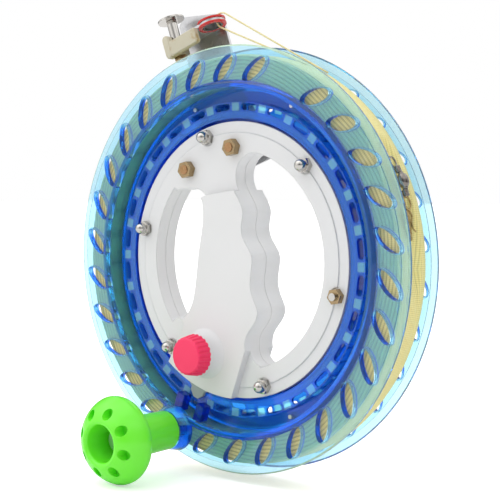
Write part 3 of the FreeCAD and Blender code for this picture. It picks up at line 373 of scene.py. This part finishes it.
def zone_colour(material, zones):
    """Colours by radius: zones lists (radius in millimetres, colour) from the axis outwards."""
    soft = 0.3
    radius = ring_radius(material)
    colour = zones[0][1]
    for edge, following in zones[1:]:
        share = ramp(material, radius, edge - soft, edge + soft)
        colour = mix_colours(material, share, colour, following)
    return colour


def clear_plastic(name, faces, walls, absorbed, density, haze):
    """Clear tinted plastic: colour painted on its walls stands in for light crossing them edge-on,
    and the colour deepens through the thickness.
    """
    material, shader = new_material(name, faces[-1][1], 0.0, 0.04)
    shader.inputs["Transmission Weight"].default_value = 1.0 - haze
    shader.inputs["IOR"].default_value = 1.45
    cloud = ramp(material, noise(material, 40.0), NOISE_LOW, NOISE_HIGH)
    clouded = mix_colours(material, cloud, (0.94, 0.97, 1.0), WHITE)
    face = mix_colours(material, 1.0, zone_colour(material, faces), clouded, "MULTIPLY")
    # Painted: the walls take colours that stand in for light crossing the plastic edge-on, not its
    # own tint.
    wall = zone_colour(material, walls)
    paint(material, shader, mix_colours(material, wall_share(material), face, wall))
    join(material, spread(material, noise(material, 90.0), 0.02, 0.06), shader.inputs["Roughness"])
    relief(material, shader, noise(material, 60.0, 2.0), 0.00006, 0.35)
    depth = node(material, "ShaderNodeVolumeAbsorption")
    depth.inputs["Color"].default_value = (*absorbed, 1.0)
    depth.inputs["Density"].default_value = density
    output = material.node_tree.nodes["Material Output"]
    join(material, depth.outputs["Volume"], output.inputs["Volume"])
    return material, shader


def spun(name):
    """Yellow fibre with a soft sheen, still to be painted."""
    material, shader = new_material(name, (0.86, 0.72, 0.28), 0.0, 0.55)
    shader.inputs["Sheen Weight"].default_value = 0.25
    return material, shader


# ---------------------------------------------------------------- plastics and metals

# slot: (name, two colours it drifts between, least and most roughness, edge rounding in metres)
MOULDED = {
    "white_abs": ("white_plastic", (0.70, 0.70, 0.70), (0.735, 0.735, 0.74), 0.38, 0.5, 0.0009),
    "green_abs": ("green_plastic", (0.165, 0.88, 0.034), (0.185, 0.94, 0.042), 0.14, 0.22, 0.0005),
    "red_plastic": ("red_plastic", (0.92, 0.022, 0.11), (0.96, 0.030, 0.13), 0.36, 0.5, 0.0003),
    "grey_plastic": ("grey_plastic", (0.30, 0.34, 0.35), (0.35, 0.38, 0.39), 0.4, 0.5, 0.0006),
    "red_grommet": ("red_ring", (0.55, 0.012, 0.012), (0.63, 0.02, 0.018), 0.1, 0.18, 0.0003),
    "dark_ceramic": ("dark_lining", (0.03, 0.027, 0.027), (0.055, 0.05, 0.048), 0.08, 0.15, 0.0003),
}
# slot: (name, two colours it drifts between, least and most roughness)
PLATED = {
    "bright_nickel": ("bright_nickel", (0.60, 0.58, 0.55), (0.47, 0.45, 0.42), 0.06, 0.16),
    "zinc_steel": ("zinc_steel", (0.64, 0.64, 0.65), (0.54, 0.54, 0.55), 0.26, 0.4),
    "bearing_steel": ("bearing_steel", (0.55, 0.55, 0.56), (0.45, 0.45, 0.46), 0.2, 0.32),
    "brass_nut": ("yellow_zinc", (0.46, 0.33, 0.17), (0.28, 0.21, 0.13), 0.14, 0.3),
    "swivel_nickel": ("dark_nickel", (0.30, 0.27, 0.25), (0.17, 0.155, 0.14), 0.1, 0.2),
    "snap_brass": ("worn_brass", (0.56, 0.41, 0.17), (0.27, 0.20, 0.09), 0.2, 0.36),
}
# Each zone is (radius in millimetres where it starts, colour). The wall zones are painted colours
# that stand in for light crossing the clear plastic edge-on, and the faces' deep blue band from
# 90.2 to 92.2 mm is the drum's rim painted the same way.
CLEAR_FACES = [(0.0, (0.10, 0.50, 1.0)), (90.2, (0.04, 0.24, 0.92)), (92.2, (0.66, 0.91, 1.0)),
               (105.6, (0.76, 0.94, 1.0))]
CLEAR_WALLS = [(0.0, (0.05, 0.28, 0.92)), (87.5, (0.44, 0.84, 0.88)), (91.8, (0.02, 0.14, 0.95)),
               (104.9, (0.16, 0.48, 0.95)), (108.8, (0.34, 0.66, 1.0))]
RACE_FACES = [(0.0, (0.06, 0.36, 1.0)), (76.4, (0.03, 0.26, 0.95)), (81.8, (0.08, 0.42, 1.0))]
RACE_WALLS = [(0.0, (0.02, 0.13, 0.85)), (79.0, (0.08, 0.42, 1.0))]
GATE_ZONES = [(0.0, (0.012, 0.06, 0.62))]

SLOT_COUNT = 28
FIRST_SLOT = 250.7
BRIDGE_INNER = 76.6
BRIDGE_OUTER = 81.4
BRIDGE_SOFT = 0.6
# Painted highlight colour for the bridges between the race's slots.
BRIDGE_HIGHLIGHT = (0.36, 0.86, 1.0)


def paint_bridge_highlights(material, shader):
    """Paints a pale cyan highlight on the short bridges between the race's slots, paler than the
    rest.
    """
    turned = math_node(material, "SUBTRACT", ring_turn(material), math.radians(FIRST_SLOT))
    wave = math_node(material, "COSINE", math_node(material, "MULTIPLY", turned, SLOT_COUNT))
    radius = ring_radius(material)
    band = math_node(material, "MULTIPLY",
                     ramp(material, radius, BRIDGE_INNER, BRIDGE_INNER + BRIDGE_SOFT),
                     ramp(material, radius, BRIDGE_OUTER, BRIDGE_OUTER - BRIDGE_SOFT))
    bridge = math_node(material, "MULTIPLY", ramp(material, wave, -0.55, -0.8), band)
    paint(material, shader, mix_colours(material, bridge, painted(shader), BRIDGE_HIGHLIGHT))


def race_plastic():
    material, shader = clear_plastic("deep_blue", RACE_FACES, RACE_WALLS, (0.0, 0.82, 1.0), 260.0,
                                     0.30)
    # Painted highlight on the bridges between the slots.
    paint_bridge_highlights(material, shader)
    return material


def stained_nylon():
    """Ivory nylon with a golden stain near the metal."""
    material, shader = moulded("ivory_nylon", (0.60, 0.56, 0.44), (0.53, 0.49, 0.36), 0.36, 0.5,
                               0.0006)
    stain = ramp(material, noise(material, 150.0, 5.0), 0.56, 0.70)
    paint(material, shader, mix_colours(material, stain, painted(shader), (0.42, 0.30, 0.12)))
    return material


# ---------------------------------------------------------------- line materials

CROSSINGS_ROUND = 330.0
CROSSINGS_PER_METRE = 4300.0


def crossing_strands(material):
    """Lattice of line crossings over the winding: 1 on a strand, 0 in the gaps between strands,
    where shade is painted.
    """
    turn = math_node(material, "MULTIPLY", ring_turn(material), CROSSINGS_ROUND)
    radius = math_node(material, "MULTIPLY", ring_radius(material), MM)
    height = math_node(material, "ADD", radius, object_axes(material)["Y"])
    level = math_node(material, "MULTIPLY", height, CROSSINGS_PER_METRE)
    first = math_node(material, "SINE", math_node(material, "ADD", turn, level))
    second = math_node(material, "SINE", math_node(material, "SUBTRACT", turn, level))
    return ramp(material, math_node(material, "MULTIPLY", first, second), -0.75, 0.55)


def wound_material():
    """Braided line: two yellows, with painted shade between the strands and at their crossings."""
    material, shader = spun("yellow_line")
    drift = mix_colours(material, noise(material, 420.0, 4.0), (0.98, 0.84, 0.30),
                        (1.0, 0.95, 0.46))
    # Painted shade: the colour attribute darkens the gaps between strands.
    shade = node(material, "ShaderNodeAttribute", attribute_name="shade").outputs["Color"]
    # Painted shade in the gaps of the crossing lattice.
    painted_gap_shade = mix_colours(material, crossing_strands(material), (0.76, 0.72, 0.60), WHITE)
    deep = mix_colours(material, 1.0, drift, shade, "MULTIPLY")
    paint(material, shader, mix_colours(material, 1.0, deep, painted_gap_shade, "MULTIPLY"))
    relief(material, shader, noise(material, 1800.0, 2.0), 0.00008, 0.6)
    return material


def cord_material():
    """The free line and the leader, seen one strand at a time."""
    material, shader = spun("yellow_cord")
    paint(material, shader, mix_colours(material, noise(material, 900.0, 3.0),
                                        (0.66, 0.56, 0.26), (0.90, 0.82, 0.48)))
    relief(material, shader, noise(material, 2600.0, 2.0), 0.0001, 0.7)
    return material


# ---------------------------------------------------------------- materials on the pieces

finishes = {slot: moulded(*facts)[0] for slot, facts in MOULDED.items()}
finishes.update({slot: plated(*facts) for slot, facts in PLATED.items()})
finishes["blue_clear"] = clear_plastic("clear_blue", CLEAR_FACES, CLEAR_WALLS, (0.0, 0.78, 0.98),
                                       110.0, 0.13)[0]
finishes["blue_race"] = race_plastic()
finishes["ivory_nylon"] = stained_nylon()
finishes["yellow_line"] = cord_material()

# Pieces that look different from the rest of their slot.
own_finishes = {
    "guide_bolts": plated("copper_bolt", (0.50, 0.26, 0.14), (0.34, 0.22, 0.10), 0.14, 0.3),
    "plain_nut": finishes["brass_nut"],
    "gate_blocks": clear_plastic("gate_blue", GATE_ZONES, GATE_ZONES, (0.0, 0.7, 1.0), 300.0,
                                 0.35)[0],
}

for part in frame["record"]["subparts"]:
    name = part["node"]
    materials = nodes[name].data.materials
    materials.clear()
    materials.append(own_finishes.get(name, finishes[part["material_slot"]]))
line.data.materials.append(finishes["yellow_line"])


# ---------------------------------------------------------------- wound line

WOUND_RADIUS = 105.0
WOUND_INNER = 91.0
WOUND_HALF = 9.35
EDGE_DROP = 1.2
BED_DEPTH = 2.7

# The *_SHADE values are the darkest painted shade in the gaps between strands.
TOP_PITCH = 1.3
TOP_RISE = 0.38
TOP_SHADE = 0.56
PATCH_RISE = 0.12
SIDE_PITCH = 2.0
SIDE_RISE = 0.22
SIDE_SINK = 0.1
SIDE_SHADE = 0.30

RING_STEPS = 420
TOP_STEPS = 112
SIDE_STEPS = 48


def swing(turn, times):
    """A zigzag between -1 and 1 that repeats a whole number of times round the ring."""
    part = (turn * times / FULL_TURN) % 1.0
    return 4 * abs(part - 0.5) - 1


def strand(place):
    """Height of a round strand across its own width, 0 between strands and 1 on top."""
    part = (place % 1.0) * 2 - 1
    return math.sqrt(max(0.0, 1 - part * part))


def lit(rise, dark):
    """Painted shade of a strand, from dark in the gap beside it to 1 on top."""
    return dark + (1 - dark) * rise


def step_up(value, low, high):
    part = min(1.0, max(0.0, (value - low) / (high - low)))
    return part * part * (3 - 2 * part)


def chain_bed(turn, y):
    """Where the swivel and its snap press into the line: 1 in the bed, 0 away from it."""
    degrees = math.degrees(turn)
    degrees = degrees - 360 if degrees > 180 else degrees
    return step_up(degrees, -9.0, -1.0) * step_up(degrees, 38.0, 31.0) * step_up(y, 4.5, 1.0)


def top_places(turn):
    """Radius, height and shade across the outside of the winding at one turn."""
    crown = 0.08 * math.sin(5 * turn + 1.0) + 0.05 * math.sin(11 * turn + 0.4)
    places = []
    for j in range(TOP_STEPS + 1):
        y = -WOUND_HALF + 2 * WOUND_HALF * j / TOP_STEPS
        drop = EDGE_DROP * abs(y / WOUND_HALF) ** 5 + BED_DEPTH * chain_bed(turn, y)
        patch = math.sin(3 * turn + 0.34 * y + 1.3 * math.sin(2 * turn)) > 0.1
        lean = 7.0 * swing(turn, 2) if patch else -6.0 * swing(turn + 0.7, 3)
        rise = strand(y / TOP_PITCH + lean)
        lift = TOP_RISE * rise + (PATCH_RISE if patch else 0.0)
        places.append((WOUND_RADIUS + crown - drop + lift, y, lit(rise, TOP_SHADE)))
    return places


def side_places(edge, drift, side):
    """Radius, height and shade down one side of the winding, from its edge to the drum."""
    places = []
    for j in range(1, SIDE_STEPS + 1):
        radius = edge + (WOUND_INNER - edge) * j / SIDE_STEPS
        rise = strand(radius / SIDE_PITCH + drift)
        y = side * (WOUND_HALF - SIDE_SINK + SIDE_RISE * rise)
        places.append((radius, y, lit(rise, SIDE_SHADE)))
    return places


def wound_ring():
    """The winding as one ring whose surface has the strands of its last layers."""
    points, shades = [], []
    for i in range(RING_STEPS):
        turn = FULL_TURN * i / RING_STEPS
        loop = top_places(turn)
        front_edge, rear_edge = loop[0][0], loop[-1][0]
        rear_drift = 0.8 * math.sin(3 * turn) + 1.6 * swing(turn, 5)
        front_drift = 0.9 * math.sin(2 * turn + 1) + 1.5 * swing(turn + 0.4, 5)
        loop += side_places(rear_edge, rear_drift, 1)
        loop += reversed(side_places(front_edge, front_drift, -1))
        for radius, y, shade in loop:
            points.append(polar(radius, math.degrees(turn), y))
            shades.append(shade)
    piece = mesh_object("wound_line", points, grid_faces(RING_STEPS, len(loop), True))
    # Painted shade between the strands, stored per point for the line's material.
    layer = piece.data.color_attributes.new("shade", "FLOAT_COLOR", "POINT")
    for corner, shade in zip(layer.data, shades):
        corner.color = (shade, shade, shade, 1.0)
    piece.data.materials.append(wound_material())
    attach(piece, "spool")
    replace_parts(piece, "line_winding")


wound_ring()


# ---------------------------------------------------------------- leaf hole collars

LEAF_RING = 98.3
LEAF_HALF_LENGTH = 8.8
LEAF_HALF_WIDTH = 3.7
LEAF_LEAN = 45.0
LEAF_PLACES = 30
LEAF_GAPS = (14, 29)
FIRST_LEAF = 80.0

COLLAR_WALL = 0.7
COLLAR_OUTER = 10.88
COLLAR_INNER = 9.65
COLLAR_STEPS = 40


def leaf_collar(points, faces, angle, side):
    """A deep rim round one leaf hole, from the flange in towards the winding."""
    middle = polar(LEAF_RING, angle)
    lean = math.radians(angle - LEAF_LEAN)
    along = Vector((math.cos(lean), 0.0, math.sin(lean)))
    across = Vector((-math.sin(lean), 0.0, math.cos(lean)))
    base = len(points)
    section = [(0.0, COLLAR_OUTER), (0.0, COLLAR_INNER), (COLLAR_WALL, COLLAR_INNER),
               (COLLAR_WALL, COLLAR_OUTER)]
    for grow, depth in section:
        for k in range(COLLAR_STEPS):
            turn = FULL_TURN * k / COLLAR_STEPS
            spot = (along * (LEAF_HALF_LENGTH + grow) * math.cos(turn)
                    + across * (LEAF_HALF_WIDTH + grow) * math.sin(turn))
            points.append(middle + (spot + Vector((0.0, side * depth, 0.0))) * MM)
    for quad in grid_faces(len(section), COLLAR_STEPS, True):
        faces.append(tuple(base + k for k in (quad if side < 0 else reversed(quad))))


def leaf_collars(name, side):
    """Every collar of one flange; side is -1 in front and 1 behind."""
    points, faces = [], []
    for k in range(LEAF_PLACES):
        if k not in LEAF_GAPS:
            leaf_collar(points, faces, FIRST_LEAF + 360 / LEAF_PLACES * k, side)
    piece = mesh_object(name, points, faces, smooth=False)
    piece.data.materials.append(finishes["blue_clear"])
    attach(piece, "spool")


leaf_collars("front_collars", -1)
leaf_collars("rear_collars", 1)


# ---------------------------------------------------------------- roller block

GUIDE_TURN = math.radians(110.0)
GUIDE_UP = Vector((math.cos(GUIDE_TURN), 0.0, math.sin(GUIDE_TURN)))
GUIDE_SIDE = Vector((math.sin(GUIDE_TURN), 0.0, -math.cos(GUIDE_TURN)))

BLOCK_TOP = 126.45
BLOCK_LOW = BLOCK_TOP - 8.0
BLOCK_CHAMFER = 1.0
LUG_LEFT = -12.5
LUG_RIGHT = 10.0
BOSS_LEFT = -13.2
BOSS_RIGHT = -5.4
KNUCKLE_RADIUS = 2.3
KNUCKLE_MIDDLE = -11.2
KNUCKLE_TOP = 130.6
KNUCKLE_LOW = 117.6


def guide_prism(name, outline, near, far, rounding):
    """A prism between two depths from an outline of (side, height) places in the guide's frame."""
    points = [(GUIDE_SIDE * side + GUIDE_UP * height + Vector((0.0, y, 0.0))) * MM
              for y in (near, far) for side, height in outline]
    piece = mesh_object(name, points, prism_faces(len(outline)))
    edges = piece.modifiers.new("edges", "BEVEL")
    edges.width = rounding * MM
    edges.segments = 4
    edges.limit_method = "ANGLE"
    edges.angle_limit = math.radians(30)
    edges.harden_normals = True
    piece.data.materials.append(finishes["ivory_nylon"])
    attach(piece, "grip")
    return piece


def half_round(height, direction):
    """Half a circle of outline places at one end of the knuckle; direction is 1 on top, else -1."""
    places = []
    for k in range(11):
        turn = math.pi * k / 10
        places.append((KNUCKLE_MIDDLE + direction * KNUCKLE_RADIUS * math.cos(turn),
                       height + direction * KNUCKLE_RADIUS * math.sin(turn)))
    return places


def roller_block():
    """Nylon block: a front lug, a boss round the pin behind it and a rounded knuckle."""
    lug = guide_prism("block_lug", [
        (LUG_LEFT, BLOCK_LOW), (LUG_RIGHT - BLOCK_CHAMFER, BLOCK_LOW),
        (LUG_RIGHT, BLOCK_LOW + BLOCK_CHAMFER), (LUG_RIGHT, BLOCK_TOP), (LUG_LEFT, BLOCK_TOP),
    ], -2.6, 1.0, 0.5)
    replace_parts(lug, "guide_block")
    guide_prism("block_boss", [
        (BOSS_LEFT, BLOCK_LOW), (BOSS_RIGHT, BLOCK_LOW), (BOSS_RIGHT, BLOCK_TOP),
        (BOSS_LEFT, BLOCK_TOP),
    ], 0.6, 8.4, 0.5)
    outline = half_round(KNUCKLE_TOP - KNUCKLE_RADIUS, 1)
    outline += half_round(KNUCKLE_LOW + KNUCKLE_RADIUS, -1)
    guide_prism("block_knuckle", list(reversed(outline)), -2.9, 1.3, 0.9)


roller_block()


# ---------------------------------------------------------------- swivel chain

CHAIN_RADIUS = 106.0
CHAIN_TURN = 22.7
CHAIN_OFFSET = -2.0
CHAIN_WIRE = 0.34

EYE_WIRE = 0.45
LINK_WIRE = 0.48
HOOK_WIRE = 0.42

WRAPS = 5
WRAP_RADIUS = 1.35
WRAP_HEIGHT = 0.3
WRAP_STEPS = 14
LOOP_STEPS = 36

BARREL_HEIGHT = 0.95
BARREL_SIDES = 32
# (place along the barrel, radius), the same towards both ends
BARREL_HALF = [(1.0, 2.72), (2.2, 2.4), (3.0, 1.8), (3.3, 1.3), (3.6, 1.4), (4.1, 1.25), (4.3, 0.7)]
BARREL_MIDDLE = (0.0, 2.8)

# Places are (along the chain, across it, outwards) in millimetres.
HOOK_ROUTE = [
    (22.6, -2.6, -0.5), (21.8, -1.4, -0.9), (19.4, -1.2, -1.1), (16.8, -2.5, -1.1),
    (14.2, -1.5, -1.0), (13.3, 0.0, -0.7), (14.2, 1.5, -1.0), (16.8, 2.6, -1.1),
    (20.0, 1.6, -1.1), (22.6, 1.5, -0.9), (24.4, 2.9, -0.5),
]
LEADER_ROUTE = [
    (-12.2, 1.0, -1.0), (-12.7, 0.0, -0.8), (-12.2, -1.0, -1.0), (-14.0, -0.4, -1.2),
    (-18.0, 0.2, -1.4), (-26.0, 0.8, -1.7), (-36.0, 1.4, -2.0),
]
LEAF_OUTLINE = [
    (13.6, -0.9), (15.2, -1.7), (20.0, -1.1), (27.5, -0.5), (28.5, 0.0), (27.5, 0.5),
    (20.0, 1.1), (15.2, 1.7), (13.6, 0.9),
]
LEAF_LEVELS = (-1.75, -1.15)


def chain_place(x, y, z):
    """A place on the chain in metres: x along the winding from the swivel's middle, z outwards."""
    return polar(CHAIN_RADIUS + z, CHAIN_TURN - math.degrees(x / CHAIN_RADIUS), y + CHAIN_OFFSET)


def chain_piece(piece, finish, body="spool"):
    piece.data.materials.append(finishes[finish])
    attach(piece, body)
    return piece


def chain_wraps(name, start, end):
    """Wire wound round the chain between two places along it."""
    steps = WRAP_STEPS * WRAPS
    path = []
    for k in range(steps + 1):
        turn = FULL_TURN * WRAPS * k / steps
        path.append(chain_place(start + (end - start) * k / steps, WRAP_RADIUS * math.cos(turn),
                                WRAP_HEIGHT + WRAP_RADIUS * math.sin(turn)))
    return chain_piece(tube(name, path, CHAIN_WIRE), "swivel_nickel")


def chain_loop(name, middle, half_length, half_width, z, wire, finish):
    """An oval eye or ring of wire that lies flat on the winding."""
    path = []
    for k in range(LOOP_STEPS):
        turn = FULL_TURN * k / LOOP_STEPS
        path.append(chain_place(middle + half_length * math.cos(turn),
                                half_width * math.sin(turn), z))
    return chain_piece(tube(name, path, wire, closed=True), finish)


def smooth_path(places, steps=8):
    """A smooth line through places in the chain's own frame."""
    path = []
    for k in range(len(places) - 1):
        a, b = Vector(places[max(k - 1, 0)]), Vector(places[k])
        c, d = Vector(places[k + 1]), Vector(places[min(k + 2, len(places) - 1)])
        for j in range(steps):
            t = j / steps
            path.append(0.5 * (2 * b + (c - a) * t + (2 * a - 5 * b + 4 * c - d) * t * t
                               + (3 * b - a - 3 * c + d) * t ** 3))
    path.append(Vector(places[-1]))
    return [chain_place(*place) for place in path]


def swivel_body():
    """Turned barrel with a collar at each end."""
    profile = [(-along, radius) for along, radius in reversed(BARREL_HALF)]
    profile += [BARREL_MIDDLE] + BARREL_HALF
    middle = chain_place(0.0, 0.0, BARREL_HEIGHT)
    down = (chain_place(0.5, 0, 0) - chain_place(-0.5, 0, 0)).normalized()
    across = Vector((0, 1, 0))
    out = polar(1000.0, CHAIN_TURN).normalized()
    points = []
    for along, radius in profile:
        for j in range(BARREL_SIDES):
            turn = FULL_TURN * j / BARREL_SIDES
            rim = across * radius * math.cos(turn) + out * radius * math.sin(turn)
            points.append(middle + (down * along + rim) * MM)
    faces = grid_faces(len(profile), BARREL_SIDES) + end_caps(len(profile), BARREL_SIDES)
    barrel = mesh_object("swivel_body", points, faces)
    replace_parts(chain_piece(barrel, "swivel_nickel", "swivel_barrel"), "swivel_barrel")


def snap_leaf():
    """The folded plate that closes the snap, as a thin tapered leaf."""
    points = [chain_place(x, y, z) for z in LEAF_LEVELS for x, y in LEAF_OUTLINE]
    plate = mesh_object("snap_leaf", points, prism_faces(len(LEAF_OUTLINE)), smooth=False)
    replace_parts(chain_piece(plate, "snap_brass"), "snap_plate")


def swivel_chain():
    """Barrel, its wrapped eyes, the ring, the snap hook and the leader, along the winding."""
    swivel_body()
    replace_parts(chain_wraps("upper_wraps", -4.3, -7.6), "swivel_eyes")
    chain_wraps("lower_wraps", 4.3, 7.8)
    chain_loop("upper_eye", -10.2, 2.9, 2.2, -0.5, EYE_WIRE, "swivel_nickel")
    ring = chain_loop("snap_link", 10.6, 3.3, 2.4, -0.2, LINK_WIRE, "snap_brass")
    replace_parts(ring, "snap_ring")
    hooks = tube("snap_hooks", smooth_path(HOOK_ROUTE), HOOK_WIRE)
    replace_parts(chain_piece(hooks, "snap_brass"), "snap_wire")
    snap_leaf()
    chain_piece(tube("leader_turn", smooth_path(LEADER_ROUTE), LINE_RADIUS), "yellow_line")


swivel_chain()


# ---------------------------------------------------------------- floor and light

FLOOR_GAP = 0.0004
FLOOR_HALF = 6.0
FLOOR_GLOW = 0.45
ROOM_LIGHT = 0.15
SOFT_BOXES = [
    # (direction it shines from, where its edge starts and ends as a cosine, strength)
    ((0.0, 0.0, 1.0), 0.35, 0.75, 1.05),
    ((-0.70, -0.70, 0.25), 0.40, 0.90, 0.85),
    ((0.75, -0.35, 0.35), 0.80, 0.97, 0.40),
    ((0.30, 0.90, 0.30), 0.60, 0.95, 0.80),
]


def add_floor():
    """A pale floor that looks as white as the backdrop to the rays that see it."""
    low = cad_box[0][2] - FLOOR_GAP
    half = FLOOR_HALF
    corners = [(-half, -half, low), (half, -half, low), (half, half, low), (-half, half, low)]
    floor = mesh_object("floor", corners, [(0, 1, 2, 3)], smooth=False)
    material, shader = new_material("pale_floor", (0.96, 0.96, 0.96), 0.0, 0.6)
    paint(material, shader, mix_colours(material, noise(material, 2.0), (0.95, 0.95, 0.95),
                                        (0.97, 0.97, 0.97)))
    feed(material, shader.inputs["Emission Color"], WHITE)
    glow = math_node(material, "MULTIPLY", seen_rays(material), FLOOR_GLOW)
    join(material, glow, shader.inputs["Emission Strength"])
    floor.data.materials.append(material)


def add_light(name, place, width, height, power):
    """A soft rectangle of light that faces the middle of the object."""
    data = bpy.data.lights.new(name, "AREA")
    data.shape = "RECTANGLE"
    data.size = width
    data.size_y = height
    data.energy = power
    light = bpy.data.objects.new(name, data)
    light.location = place
    light.rotation_euler = (-Vector(place)).to_track_quat("-Z", "Y").to_euler()
    scene.collection.objects.link(light)


def add_world():
    """A white backdrop whose light comes from soft boxes, so that metal has darks to reflect."""
    world = bpy.data.worlds.new("studio")
    world.use_nodes = True
    back = world.node_tree.nodes["Background"]
    feed(world, back.inputs["Color"], WHITE)
    toward = node(world, "ShaderNodeTexCoord").outputs["Generated"]
    total = ROOM_LIGHT
    for way, start, end, strength in SOFT_BOXES:
        dot = node(world, "ShaderNodeVectorMath", operation="DOT_PRODUCT")
        dot.inputs[1].default_value = Vector(way).normalized()
        join(world, toward, dot.inputs[0])
        box = ramp(world, dot.outputs["Value"], start, end, 0.0, strength)
        total = math_node(world, "ADD", total, box)
    backdrop = node(world, "ShaderNodeMix")
    feed(world, backdrop.inputs["Factor"], seen_rays(world))
    feed(world, backdrop.inputs["A"], total)
    feed(world, backdrop.inputs["B"], 1.0)
    join(world, backdrop.outputs["Result"], back.inputs["Strength"])
    scene.world = world


add_floor()
add_light("overhead", (-0.1, -0.2, 0.9), 0.8, 0.6, 0.9)
add_light("front_left", (-0.55, -0.8, 0.45), 0.5, 0.6, 0.35)
add_world()
